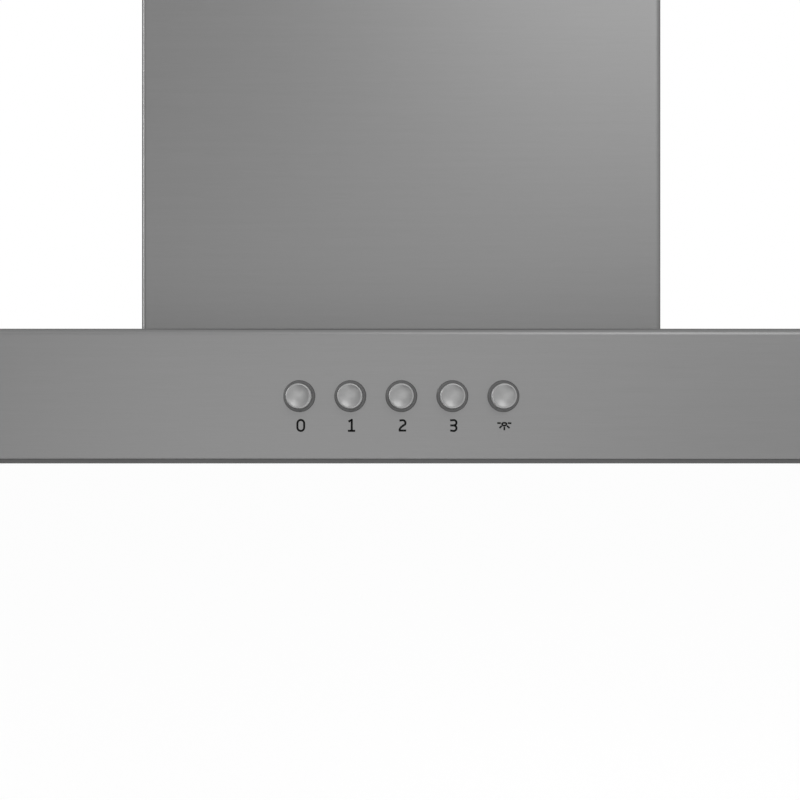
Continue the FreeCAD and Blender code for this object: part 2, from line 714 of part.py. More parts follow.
def lamp_lens(side):
    centre = lamp_centre(side)
    top = RIM_DROP + LENS_T
    return rod(LAMP_R - LAMP_WALL - LENS_FIT, centre + Z * (top - LENS_T), centre + Z * top)


def led_boards():
    boards = []
    top = LAMP_H - LAMP_WALL
    for side in (-1, 1):
        centre = lamp_centre(side)
        boards.append(rod(LED_BOARD_R, centre + Z * (top - LED_BOARD_T), centre + Z * top))
    return Part.makeCompound(boards)


def led_driver():
    y = FASCIA_Y + DRIVER_SET
    return block(
        DRIVER_X - DRIVER_L / 2, DRIVER_X + DRIVER_L / 2, y - DRIVER_W / 2, y + DRIVER_W / 2,
        LIP_Z, LIP_Z + DRIVER_H,
    )


# Controls
def switch_housing():
    z0, z1 = BUTTON_Z - SWITCH_HALF_H, BUTTON_Z + SWITCH_HALF_H
    body = block(-SWITCH_HALF_W, SWITCH_HALF_W, FASCIA_BACK, SWITCH_REAR, z0, z1)
    cavity = block(
        -SWITCH_HALF_W + SWITCH_WALL, SWITCH_HALF_W - SWITCH_WALL, CAVITY_Y, SWITCH_REAR + PAST,
        z0 + SWITCH_WALL, z1 - SWITCH_WALL,
    )
    pieces = [body.cut(cavity)]
    for x in mirrored(EAR_X):
        ear = block(
            x - EAR_L / 2, x + EAR_L / 2, FASCIA_BACK, FASCIA_BACK + EAR_T,
            BUTTON_Z - EAR_HALF_H, BUTTON_Z + EAR_HALF_H,
        )
        stud = Vector(x, FASCIA_BACK, BUTTON_Z)
        pieces.append(ear.cut(rod(STUD_R + STUD_FIT, stud - Y * PAST, stud + Y * (EAR_T + PAST))))
    front = FASCIA_Y - COLLAR_PROUD
    bores = []
    for index in range(BUTTON_COUNT):
        base = Vector(button_x(index), 0, BUTTON_Z)
        collar = [
            (0, front), (COLLAR_R - COLLAR_EDGE, front), (COLLAR_R, front + COLLAR_EDGE),
            (COLLAR_R, FASCIA_BACK), (0, FASCIA_BACK),
        ]
        pieces.append(turned(collar, base, Y, X))
        bores.append(rod(COLLAR_BORE_R, base + Y * (front - PAST), base + Y * CAVITY_Y))
    housing = joined(pieces)
    for bore in bores:
        housing = housing.cut(bore)
    return with_holes(housing, switch_screws())


def switch_contact_block():
    half_w = SWITCH_HALF_W - SWITCH_WALL - FIT
    half_h = SWITCH_HALF_H - SWITCH_WALL - FIT
    body = block(-half_w, half_w, BLOCK_Y, SWITCH_REAR, BUTTON_Z - half_h, BUTTON_Z + half_h)
    for index in range(BUTTON_COUNT):
        base = Vector(button_x(index), 0, BUTTON_Z)
        body = body.cut(rod(STEM_R + STEM_FIT, base + Y * (BLOCK_Y - PAST), base + Y * (SWITCH_REAR + PAST)))
    return with_holes(body, switch_screws())


def switch_terminals():
    blades = []
    for index in range(BUTTON_COUNT):
        for z in (BUTTON_Z - BLADE_OFFSET, BUTTON_Z + BLADE_OFFSET):
            x = button_x(index)
            blades.append(
                block(
                    x - BLADE_W_TERMINAL / 2, x + BLADE_W_TERMINAL / 2, SWITCH_REAR,
                    SWITCH_REAR + BLADE_L_TERMINAL, z - BLADE_T_TERMINAL / 2, z + BLADE_T_TERMINAL / 2,
                )
            )
    return Part.makeCompound(blades)


def switch_nuts():
    nuts = []
    for x in mirrored(EAR_X):
        start = Vector(x, FASCIA_BACK + EAR_T, BUTTON_Z)
        end = start + Y * NUT_T
        nuts.append(hexagon(NUT_R, start, end).cut(rod(STUD_R + FIT / 2, start - Y * PAST, end + Y * PAST)))
    return nuts


def is_circle(edge, radius):
    return edge.Curve.TypeId == "Part::GeomCircle" and abs(edge.Curve.Radius - radius) < 1e-4


def button(index):
    """Dished push button on a stem, held behind the collar by its flange."""
    base = Vector(button_x(index), 0, BUTTON_Z)
    face = FASCIA_Y - BUTTON_PROUD
    floor = face + RIM_STEP
    stem_end = BLOCK_Y + STEM_IN
    rim_r = BUTTON_R - RIM_LAND
    floor_r = rim_r - RIM_LEAN
    profile = [
        (0, floor), (floor_r, floor), (rim_r, face), (BUTTON_R, face), (BUTTON_R, FLANGE_Y),
        (BUTTON_FLANGE_R, FLANGE_Y), (BUTTON_FLANGE_R, SPRING_Y), (STEM_R, SPRING_Y), (STEM_R, stem_end),
        (0, stem_end),
    ]
    body = turned(profile, base, Y, X)
    dish_r = (floor_r**2 + DISH_DEPTH**2) / (2 * DISH_DEPTH)
    dish = Part.makeSphere(dish_r, base + Y * (floor + DISH_DEPTH - dish_r))
    body = body.cut(dish.common(rod(floor_r, base + Y * floor, base + Y * (floor + PAST))))
    roundings = ((floor, floor_r, COVE_R), (face, BUTTON_R, BUTTON_EDGE_R), (face, rim_r, RIM_INNER_R))
    for level, radius, rounding in roundings:
        edge = [e for e in body.Edges if abs(e.CenterOfMass.y - level) < 1e-6 and is_circle(e, radius)]
        body = body.makeFillet(rounding, edge)
    return body


def button_spring(index):
    """Return spring between the button's flange and the contact block."""
    height = SPRING_L - 2 * (STOP_GAP + SPRING_WIRE_R)
    path, out = coil_path(SPRING_R, height, SPRING_TURNS)
    section = Part.Wire(Part.makeCircle(SPRING_WIRE_R, Vector(SPRING_R, 0, 0), out))
    coil = path.makePipeShell([section], True, False)
    start = Vector(button_x(index), SPRING_Y + STOP_GAP + SPRING_WIRE_R, BUTTON_Z)
    coil.rotate(Vector(), X, -90)
    coil.translate(start)
    return coil


# Fan unit
def motor_box():
    z0 = CANOPY_H
    outer = block(-BOX_HALF_W, BOX_HALF_W, BOX_FRONT, 0, z0, BOX_TOP)
    inner = block(-BOX_HALF_W + BOX_T, BOX_HALF_W - BOX_T, BOX_FRONT + BOX_T, -BOX_T, z0 + BOX_T, BOX_TOP - BOX_T)
    inset = BOX_T + BOX_FLANGE_W
    mouth = block(-BOX_HALF_W + inset, BOX_HALF_W - inset, BOX_FRONT + inset, -inset, z0 - PAST, z0 + PAST)
    box = outer.cut(inner).cut(mouth)
    box = box.cut(rod(SPIGOT_BORE_R, SPIGOT_AXIS + Z * (BOX_TOP - PAST), SPIGOT_AXIS + Z * (BOX_TOP + PAST)))
    for x in mirrored(HANG_X):
        z = BOX_TOP - HANG_DROP
        box = box.cut(rod(HANG_R, Vector(x, -PAST, z), Vector(x, PAST, z)))
    end = CABLE_ROUTE[-1]
    box = box.cut(rod(CABLE_R + CABLE_FIT, Vector(end.x, end.y, BOX_TOP - PAST), Vector(end.x, end.y, BOX_TOP + PAST)))
    return with_holes(box, box_screws() + outlet_screws())


def quarter(centre, radius, start, turn):
    """Quarter arc in the fan's plane, from an angle in degrees."""
    points = []
    for share in (0, 0.5, 1):
        angle = math.radians(start + turn * share)
        points.append(centre + Y * (radius * math.cos(angle)) + Z * (radius * math.sin(angle)))
    return Part.Arc(*points).toShape(), points[0], points[2]


def scroll_outline(wall):
    """The spiral in the fan's plane, grown outwards by a wall."""
    step = SCROLL_GROWTH
    top = SCROLL_TOP
    first = FAN_AXIS
    second = first + Y * step
    third = second + Z * step
    lean = math.degrees(math.asin(wall / (SCROLL_R + wall)))
    arc_1, tongue, _ = quarter(first, SCROLL_R + wall, 90 + lean, 90 - lean)
    arc_2, _, _ = quarter(second, SCROLL_R + step + wall, 180, 90)
    arc_3, _, side = quarter(third, SCROLL_R + 2 * step + wall, 270, 90)
    side_top = Vector(0, side.y, top)
    tongue_top = Vector(0, tongue.y, top)
    lines = [Part.makeLine(side, side_top), Part.makeLine(side_top, tongue_top), Part.makeLine(tongue_top, tongue)]
    return Part.Face(Part.Wire([arc_1, arc_2, arc_3] + lines))


def scroll_bosses():
    """Centres of the screw bosses that hold the two scroll halves together."""
    second = FAN_AXIS + Y * SCROLL_GROWTH
    third = second + Z * SCROLL_GROWTH
    reach = SCROLL_WALL + SCREW_HEAD_R + FIT
    centres = []
    for centre, radius, angle in (
        (second, SCROLL_R + SCROLL_GROWTH, 225),
        (third, SCROLL_R + 2 * SCROLL_GROWTH, 315),
        (FAN_AXIS, SCROLL_R, 135),
    ):
        turn = math.radians(angle)
        centres.append(centre + (Y * math.cos(turn) + Z * math.sin(turn)) * (radius + reach))
    return centres


def scroll_half(side):
    run = X * (side * SCROLL_HALF_W)
    air = X * (side * (SCROLL_HALF_W - SCROLL_WALL))
    edge = SCROLL_HALF_W + SCROLL_FLANGE_W
    front, rear = FAN_Y - SCROLL_WALL, FAN_Y + OUTLET_D + SCROLL_WALL
    x0, x1 = sorted((side * (SCROLL_HALF_W - SCROLL_WALL), side * edge))
    flange = block(x0, x1, front, rear, SCROLL_TOP - SCROLL_FLANGE_T, SCROLL_TOP)
    bosses = [rod(BOSS_R, centre, centre + X * (side * BOSS_L)) for centre in scroll_bosses()]
    half = joined([scroll_outline(SCROLL_WALL).extrude(run), flange] + bosses)
    half = half.cut(scroll_outline(0).extrude(air))
    half = half.cut(rod(BLADE_ROOT_R, FAN_AXIS, FAN_AXIS + run * 2))
    for centre in scroll_bosses():
        half = half.cut(rod(SCREW_R + SCREW_FIT, centre - X * PAST * 4, centre + X * PAST * 4))
    for spot in spider_bolts():
        half = half.cut(rod(SCREW_R + SCREW_FIT, spot, spot + run * 2))
    return with_holes(half, outlet_screws())


def spider_bolts():
    """Bolt centres of the motor's bracket, in the fan's plane."""
    spots = []
    for angle in (90, 210, 330):
        turn = math.radians(angle)
        spots.append(FAN_AXIS + (Y * math.cos(turn) + Z * math.sin(turn)) * SPIDER_BOLT_R)
    return spots


def impeller():
    """Double-inlet wheel: a disc, forward-curved blades through it and two end rings."""
    half = X * IMPELLER_HALF_W
    blade_r = IMPELLER_R - BLADE_T / 2
    middle_r = (BLADE_ROOT_R + blade_r) / 2
    sweep = math.radians(BLADE_SWEEP)
    pieces = [
        rod(blade_r, FAN_AXIS - X * (DISC_T / 2), FAN_AXIS + X * (DISC_T / 2)),
        rod(HUB_R, FAN_AXIS - X * (HUB_L / 2), FAN_AXIS + X * (HUB_L / 2)),
    ]
    for end in (-1, 1):
        outer = FAN_AXIS + half * end
        inner = outer - X * (END_RING_W * end)
        pieces.append(tube(IMPELLER_R, BLADE_ROOT_R + BLADE_DEPTH * 0.7, inner, outer))
    for number in range(BLADE_COUNT):
        base = 2 * math.pi * number / BLADE_COUNT
        sides = []
        for shift in (0, BLADE_T / middle_r):
            points = []
            for radius, share in ((BLADE_ROOT_R, 0), (middle_r, 0.3), (blade_r, 1)):
                angle = base + shift + sweep * share
                points.append(FAN_AXIS - half + Y * (radius * math.cos(angle)) + Z * (radius * math.sin(angle)))
            sides.append(points)
        near, far = sides
        wire = Part.Wire([
            Part.Arc(*near).toShape(), Part.makeLine(near[2], far[2]),
            Part.Arc(*reversed(far)).toShape(), Part.makeLine(far[0], near[0]),
        ])
        pieces.append(Part.Face(wire).extrude(half * 2))
    wheel = joined(pieces)
    return wheel.cut(rod(SHAFT_R + SHAFT_FIT, FAN_AXIS - half, FAN_AXIS + half))


def fan_spot(x):
    return FAN_AXIS + X * x


def motor_shaft():
    return rod(SHAFT_R, fan_spot(-HUB_L / 2 - SHAFT_END), fan_spot(CAP_X + BEARING_L + CAP_T))


def impeller_nut():
    end = fan_spot(-HUB_L / 2)
    start = end - X * (SHAFT_END * 0.7)
    return hexagon(SHAFT_R * 1.9, start, end).cut(rod(SHAFT_R + SHAFT_FIT, start - X * PAST, end + X * PAST))


def motor_case():
    """Cup around the stator, with a bearing seat in its closed end."""
    cup = rod(MOTOR_R, fan_spot(MOTOR_X0), fan_spot(CAP_X))
    hollow = rod(MOTOR_R - MOTOR_WALL, fan_spot(MOTOR_X0 + MOTOR_WALL), fan_spot(CAP_X + PAST))
    seat = rod(BEARING_R + MOTOR_WALL, fan_spot(MOTOR_X0), fan_spot(MOTOR_X0 + BEARING_L))
    bore = rod(BEARING_R + SHAFT_FIT, fan_spot(MOTOR_X0 - PAST), fan_spot(MOTOR_X0 + BEARING_L + PAST))
    return joined([cup.cut(hollow), seat]).cut(bore)


def motor_end_cap():
    plate = rod(MOTOR_R, fan_spot(CAP_X), fan_spot(CAP_X + CAP_T))
    boss = rod(CAP_BOSS_R, fan_spot(CAP_X), fan_spot(SPIDER_X))
    bore = rod(BEARING_R + SHAFT_FIT, fan_spot(CAP_X - PAST), fan_spot(CAP_X + BEARING_L))
    tip = rod(SHAFT_R + 1.0, fan_spot(CAP_X), fan_spot(SPIDER_X + PAST))
    return joined([plate, boss]).cut(bore).cut(tip)


def motor_bearings():
    spans = ((MOTOR_X0, MOTOR_X0 + BEARING_L), (CAP_X, CAP_X + BEARING_L))
    return Part.makeCompound([tube(BEARING_R, SHAFT_R + SHAFT_FIT, fan_spot(a), fan_spot(b)) for a, b in spans])


def stator_core():
    return tube(MOTOR_R - MOTOR_WALL - MOTOR_FIT, ROTOR_R + AIR_RING, fan_spot(CORE_X), fan_spot(CORE_X + CORE_L))


def stator_windings():
    outer = MOTOR_R - MOTOR_WALL - WINDING_INSET
    inner = ROTOR_R + AIR_RING + WINDING_INSET
    starts = (CORE_X - WINDING_L, CORE_X + CORE_L)
    return Part.makeCompound([tube(outer, inner, fan_spot(x), fan_spot(x + WINDING_L)) for x in starts])


def rotor_core():
    return tube(ROTOR_R, SHAFT_R + SHAFT_FIT, fan_spot(CORE_X), fan_spot(CORE_X + CORE_L))


def motor_bracket():
    """Three-armed spider across the right inlet."""
    start, end = fan_spot(SPIDER_X), fan_spot(SPIDER_X + SPIDER_T)
    pieces = [rod(SPIDER_RING_R, start, end)]
    for spot in spider_bolts():
        out = (spot - FAN_AXIS).normalize()
        across = out.cross(X) * (SPIDER_ARM_W / 2)
        near, far = start, start + out * (SPIDER_BOLT_R + SPIDER_PAD)
        pieces.append(prism([near - across, near + across, far + across, far - across], end - start))
    bracket = joined(pieces).cut(rod(SPIDER_HOLE_R, start - X * PAST, end + X * PAST))
    for spot in spider_bolts():
        bracket = bracket.cut(rod(SCREW_R + SCREW_FIT, spot, spot + X * (SPIDER_X + PAST)))
    return bracket


def motor_grommets():
    rings = []
    for spot in spider_bolts():
        start = spot + X * SCROLL_HALF_W
        rings.append(tube(GROMMET_R, SCREW_R + SCREW_FIT, start, start + X * GROMMET_T))
    return Part.makeCompound(rings)


def fan_screws():
    """Screws of the motor bracket and of the scroll's seam."""
    length = SPIDER_T + GROMMET_T + SCROLL_WALL
    screws = [screw(spot + X * (SPIDER_X + SPIDER_T), -X, length) for spot in spider_bolts()]
    screws += [screw(centre + X * BOSS_L, -X, BOSS_L * 1.8) for centre in scroll_bosses()]
    return Part.makeCompound(screws)


def capacitor():
    wall = -BOX_HALF_W + BOX_T
    y0 = BOX_FRONT + BOX_T + CAPACITOR_SET
    z1 = BOX_TOP - BOX_T - CAPACITOR_SET
    body = block(wall, wall + CAPACITOR_T, y0, y0 + CAPACITOR_W, z1 - CAPACITOR_H, z1)
    return body.makeFillet(CAPACITOR_T * 0.12, edges_on(body, X, lambda c: True))


def terminal_box():
    x0, x1 = TERMINAL_X - TERMINAL_W / 2, TERMINAL_X + TERMINAL_W / 2
    y0, y1 = TERMINAL_Y0, TERMINAL_Y0 + TERMINAL_D
    t = TERMINAL_T
    body = block(x0, x1, y0, y1, BOX_TOP, TERMINAL_TOP)
    body = body.cut(block(x0 + t, x1 - t, y0 + t, y1 - t, BOX_TOP + t, TERMINAL_TOP + PAST))
    end = CABLE_ROUTE[-1]
    return body.cut(rod(CABLE_R + CABLE_FIT, Vector(end.x, end.y, BOX_TOP - PAST), Vector(end.x, end.y, TERMINAL_TOP)))


def gland_spot():
    return Vector(TERMINAL_X - GLAND_OFF, TERMINAL_Y0 + TERMINAL_D / 2, TERMINAL_TOP + TERMINAL_T)


def terminal_box_cover():
    x0, x1 = TERMINAL_X - TERMINAL_W / 2, TERMINAL_X + TERMINAL_W / 2
    y0, y1 = TERMINAL_Y0, TERMINAL_Y0 + TERMINAL_D
    inset = TERMINAL_T + FIT
    lid = block(x0, x1, y0, y1, TERMINAL_TOP, TERMINAL_TOP + TERMINAL_T)
    lip = block(x0 + inset, x1 - inset, y0 + inset, y1 - inset, TERMINAL_TOP - TERMINAL_T, TERMINAL_TOP)
    inner = inset + TERMINAL_T
    lip = lip.cut(block(x0 + inner, x1 - inner, y0 + inner, y1 - inner, BOX_TOP, TERMINAL_TOP))
    spot = gland_spot()
    return joined([lid, lip]).cut(rod(GLAND_R * 0.75 + FIT, spot - Z * TERMINAL_H, spot + Z * PAST))


def cable_gland():
    """Gland for the mains lead: a hexagon, a domed nut and a bore straight through."""
    spot = gland_spot()
    tail = rod(GLAND_R * 0.75, spot - Z * (TERMINAL_T * 3), spot)
    foot = hexagon(GLAND_R * 1.1, spot, spot + Z * (GLAND_H * 0.4))
    dome = rod(GLAND_R, spot + Z * (GLAND_H * 0.4), spot + Z * GLAND_H)
    top = [e for e in dome.Edges if e.CenterOfMass.z > spot.z + GLAND_H - 1e-6]
    dome = dome.makeFillet(GLAND_R * 0.3, top)
    gland = joined([tail, foot, dome])
    return gland.cut(rod(GLAND_BORE_R, spot - Z * TERMINAL_H, spot + Z * (GLAND_H + PAST)))


# Control cable: from the contact block, under the deck and up through the fan box
CABLE_X0 = button_x(BUTTON_COUNT - 2) + BUTTON_PITCH / 2
CABLE_X1 = BOX_HALF_W - CABLE_SIDE
CABLE_X2 = TERMINAL_X + TERMINAL_W / 2 - CABLE_INSET
CABLE_Y = BOX_FRONT + CABLE_BACK
CABLE_Z = DECK_UNDER - CABLE_DROP
CABLE_ROUTE = [
    Vector(CABLE_X0, SWITCH_REAR, BUTTON_Z),
    Vector(CABLE_X0, SWITCH_REAR + CABLE_LEAD, BUTTON_Z),
    Vector(CABLE_X0, SWITCH_REAR + CABLE_LEAD + CABLE_RISE, CABLE_Z),
    Vector(CABLE_X1, BOX_FRONT - CABLE_BACK, CABLE_Z),
    Vector(CABLE_X1, CABLE_Y, CABLE_Z),
    Vector(CABLE_X1, CABLE_Y, FAN_Z),
    Vector(CABLE_X2, CABLE_Y, BOX_TOP - CABLE_BACK),
    Vector(CABLE_X2, CABLE_Y, BOX_TOP + TERMINAL_T + CABLE_TAIL),
]


def cable_path(points):
    """Straight runs joined by tangent arcs, each as large as its two runs allow."""
    edges, start = [], points[0]
    for before, corner, after in zip(points, points[1:], points[2:]):
        into, out = (corner - before), (after - corner)
        cut = 0.45 * min(into.Length, out.Length)
        first = corner - into.normalize() * cut
        last = corner + out.normalize() * cut
        bend = corner_arc(first, corner, last)
        print(f"cable bend radius {bend.Curve.Radius:.1f} mm")
        edges += [Part.LineSegment(start, first).toShape(), bend]
        start = last
    edges.append(Part.LineSegment(start, points[-1]).toShape())
    return Part.Wire(edges)


def control_cable():
    path = cable_path(CABLE_ROUTE)
    section = Part.Wire(Part.makeCircle(CABLE_R, CABLE_ROUTE[0], Y))
    cable = path.makePipeShell([section], True, False)
    expected = math.pi * CABLE_R**2 * path.Length
    print(f"cable length {path.Length:.1f} mm, volume over section times length {cable.Volume / expected:.4f}")
    return cable


# Duct outlet
def outlet_flange():
    """Plate on the fan box that clamps the collar's foot."""
    x_half = SCROLL_HALF_W + SPIGOT_FLANGE_EDGE
    y_half = SPIGOT_R + SPIGOT_FLANGE_EDGE
    plate = block(-x_half, x_half, SPIGOT_Y - y_half, SPIGOT_Y + y_half, BOX_TOP, SPIGOT_Z)
    plate = plate.makeFillet(SPIGOT_FLANGE_EDGE, edges_on(plate, Z, lambda c: True))
    plate = plate.cut(rod(SPIGOT_FOOT_R + FIT, SPIGOT_AXIS + Z * BOX_TOP, SPIGOT_AXIS + Z * SPIGOT_Z))
    plate = plate.cut(rod(SPIGOT_LIP_R + FIT, SPIGOT_AXIS + Z * BOX_TOP, SPIGOT_AXIS + Z * (SPIGOT_LIP_Z + FIT)))
    return with_holes(plate, outlet_screws())


def outlet_spigot():
    """Collar for the duct, with a ledge and a cross bar for the flaps."""
    profile = [
        (SPIGOT_BORE_R, BOX_TOP), (SPIGOT_LIP_R, BOX_TOP), (SPIGOT_LIP_R, SPIGOT_LIP_Z),
        (SPIGOT_FOOT_R, SPIGOT_LIP_Z), (SPIGOT_FOOT_R, SPIGOT_Z), (SPIGOT_R, SPIGOT_Z),
        (SPIGOT_R, SPIGOT_TOP), (SPIGOT_BORE_R, SPIGOT_TOP),
    ]
    spigot = turned(profile, SPIGOT_AXIS, Z, X)
    ledge_top = FLAP_Z - FLAP_T / 2 - LEDGE_GAP
    ledge = tube(
        SPIGOT_R, SPIGOT_BORE_R - LEDGE_W, SPIGOT_AXIS + Z * (ledge_top - LEDGE_T), SPIGOT_AXIS + Z * ledge_top
    )
    bar = block(-SPIGOT_R, SPIGOT_R, SPIGOT_Y - BAR_HALF, SPIGOT_Y + BAR_HALF, FLAP_Z - BAR_H, FLAP_Z)
    bar = bar.common(rod(SPIGOT_R, SPIGOT_AXIS + Z * BOX_TOP, SPIGOT_AXIS + Z * SPIGOT_TOP))
    spigot = joined([spigot, ledge, bar])
    for side in (-1, 1):
        hinge = Vector(0, SPIGOT_Y + side * HINGE_OFF, FLAP_Z)
        clear = rod(BARREL_R + LEDGE_GAP, hinge - X * SPIGOT_BORE_R, hinge + X * SPIGOT_BORE_R)
        room = rod(SPIGOT_BORE_R - 0.01, SPIGOT_AXIS + Z * BOX_TOP, SPIGOT_AXIS + Z * SPIGOT_TOP)
        spigot = spigot.cut(clear.common(room))
        spigot = spigot.cut(rod(PIN_R + PIN_FIT, hinge - X * SPIGOT_R, hinge + X * SPIGOT_R))
    return spigot


def flap(side):
    """Half-round non-return flap with a hinge barrel; side -1 is the front one."""
    hinge = Vector(0, SPIGOT_Y + side * HINGE_OFF, FLAP_Z)
    disc = rod(
        SPIGOT_BORE_R - FLAP_GAP, SPIGOT_AXIS + Z * (FLAP_Z - FLAP_T / 2), SPIGOT_AXIS + Z * (FLAP_Z + FLAP_T / 2)
    )
    y0, y1 = sorted((hinge.y, SPIGOT_Y + side * SPIGOT_R))
    leaf = disc.common(block(-SPIGOT_R, SPIGOT_R, y0, y1, FLAP_Z - FLAP_T, FLAP_Z + FLAP_T))
    chord = math.sqrt((SPIGOT_BORE_R - FLAP_GAP) ** 2 - (HINGE_OFF + BARREL_R) ** 2)
    wall = math.sqrt(SPIGOT_BORE_R**2 - HINGE_OFF**2)
    barrel = rod(BARREL_R, hinge - X * chord, hinge + X * chord)
    pin = rod(PIN_R, hinge - X * (wall + PIN_IN), hinge + X * (wall + PIN_IN))
    return joined([leaf, barrel, pin])


# Chimney
def chimney_channel(half_w, front, rear, z0, z1):
    """Folded channel with its open side to the wall and a return flange along each back edge."""
    def front_corners(solid):
        return edges_on(solid, Z, lambda c: c.y < front + SHEET + FOLD_R)

    outer = folded(half_w, front, rear, z0, z1, FOLD_R, front_corners)
    inner = folded(half_w - SHEET, front + SHEET, rear - SHEET, z0 - PAST, z1 + PAST, FOLD_INNER_R, front_corners)
    gap = half_w - REAR_FLANGE
    return outer.cut(inner).cut(block(-gap, gap, rear - SHEET - PAST, rear + PAST, z0 - PAST, z1 + PAST))


def lower_chimney():
    return chimney_channel(CHIMNEY_W / 2, -CHIMNEY_D, 0, CANOPY_H, CANOPY_H + LOWER_H)


def upper_chimney():
    section = chimney_channel(UPPER_HALF_W, UPPER_FRONT, UPPER_REAR, UPPER_Z0, CHIMNEY_TOP)
    middle = (UPPER_FRONT + UPPER_REAR) / 2
    for number in range(SLOT_COUNT):
        z = UPPER_Z0 + SLOT_START + number * SLOT_PITCH
        for side in (-1, 1):
            x0, x1 = sorted((side * (UPPER_HALF_W - SHEET - PAST), side * (UPPER_HALF_W + PAST)))
            section = section.cut(block(x0, x1, middle - SLOT_L / 2, middle + SLOT_L / 2, z, z + SLOT_H))
    return with_holes(section, bracket_screws())


def chimney_clips():
    """Two angle clips on the deck that hold the lower section and stop the upper one."""
    clips = []
    for side in (-1, 1):
        wall = CHIMNEY_W / 2 - SHEET
        y0, y1 = -CLIP_SET - CLIP_W / 2, -CLIP_SET + CLIP_W / 2
        leg_x = sorted((side * wall, side * (wall - CLIP_T)))
        foot_x = sorted((side * wall, side * (BOX_HALF_W + FIT)))
        leg = block(*leg_x, y0, y1, CANOPY_H, CLIP_TOP)
        foot = block(*foot_x, y0, y1, CANOPY_H, CANOPY_H + CLIP_FOOT_T)
        clips.append(with_holes(joined([leg, foot]), clip_screws()))
    return Part.makeCompound(clips)


def chimney_wall_bracket():
    """Hat-shaped strip: its middle lies on the wall and its ears take the chimney's screws."""
    z0 = CHIMNEY_TOP - BRACKET_DROP - BRACKET_H
    ear_x = UPPER_HALF_W - SHEET - FIT
    step_y = UPPER_REAR - SHEET - FIT
    t = BRACKET_T
    right = [
        (BRACKET_HALF, 0), (BRACKET_HALF, step_y), (ear_x, step_y), (ear_x, step_y - BRACKET_EAR),
        (ear_x - t, step_y - BRACKET_EAR), (ear_x - t, step_y - t), (BRACKET_HALF - t, step_y - t),
        (BRACKET_HALF - t, -t),
    ]
    left = [(-x, y) for x, y in reversed(right)]
    strip = prism([Vector(x, y, z0) for x, y in right + left], Z * BRACKET_H)
    for x in mirrored(BRACKET_BOLT_X):
        z = z0 + BRACKET_H / 2
        strip = strip.cut(rod(BRACKET_BOLT_R, Vector(x, -PAST, z), Vector(x, PAST, z)))
    return with_holes(strip, bracket_screws())


def chimney_screws():
    return Part.makeCompound([screw(seat, run) for seat, run in bracket_screws()])


def body_fasteners():
    """Screws of the canopy, fan box, clips, outlet and switch, and the nuts on the switch's studs."""
    low = [screw(seat, run, SCREW_L, LOW_HEAD_H) for seat, run in underside_screws()]
    plain = rear_panel_screws() + box_screws() + clip_screws() + switch_screws()
    outlet_l = SPIGOT_FLANGE_T + BOX_T + SCROLL_FLANGE_T + SHEET
    tall = [screw(seat, run, outlet_l) for seat, run in outlet_screws()]
    return Part.makeCompound(low + [screw(seat, run) for seat, run in plain] + tall + switch_nuts())


BUTTON_NAMES = ["button_0", "button_1", "button_2", "button_3", "button_light"]
SIDES = {"left": -1, "right": 1}


def all_parts():
    parts = {
        "canopy_shell": canopy_shell(),
        "rear_panel": rear_panel(),
        "underside_frame": underside_frame(),
        "body_fasteners": body_fasteners(),
        "switch_housing": switch_housing(),
        "switch_contact_block": switch_contact_block(),
        "switch_terminals": switch_terminals(),
        "led_boards": led_boards(),
        "led_driver": led_driver(),
        "motor_box": motor_box(),
        "impeller": impeller(),
        "impeller_nut": impeller_nut(),
        "motor_shaft": motor_shaft(),
        "motor_case": motor_case(),
        "motor_end_cap": motor_end_cap(),
        "motor_bearings": motor_bearings(),
        "stator_core": stator_core(),
        "stator_windings": stator_windings(),
        "rotor_core": rotor_core(),
        "motor_bracket": motor_bracket(),
        "motor_grommets": motor_grommets(),
        "fan_screws": fan_screws(),
        "capacitor": capacitor(),
        "terminal_box": terminal_box(),
        "terminal_box_cover": terminal_box_cover(),
        "cable_gland": cable_gland(),
        "control_cable": control_cable(),
        "outlet_flange": outlet_flange(),
        "outlet_spigot": outlet_spigot(),
        "flap_front": flap(-1),
        "flap_rear": flap(1),
        "lower_chimney": lower_chimney(),
        "upper_chimney": upper_chimney(),
        "chimney_clips": chimney_clips(),
        "chimney_wall_bracket": chimney_wall_bracket(),
        "chimney_screws": chimney_screws(),
    }
    for index, name in enumerate(BUTTON_NAMES):
        parts[name] = button(index)
        parts[f"{name}_spring"] = button_spring(index)
    for name, side in SIDES.items():
        parts[f"scroll_{name}"] = scroll_half(side)
        parts[f"lamp_{name}_housing"] = lamp_housing(side)
        parts[f"lamp_{name}_lens"] = lamp_lens(side)
        parts[f"filter_{name}_frame"] = filter_frame(side)
        parts[f"filter_{name}_mesh"] = filter_mesh(side)
        parts[f"filter_{name}_handle"] = filter_handle(side)
        parts[f"filter_{name}_latch_spring"] = filter_latch_spring(side)
    return parts


os.makedirs("parts", exist_ok=True)
for node, shape in all_parts().items():
    shape.exportStep(f"parts/{node}.step")
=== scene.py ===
import json
import math

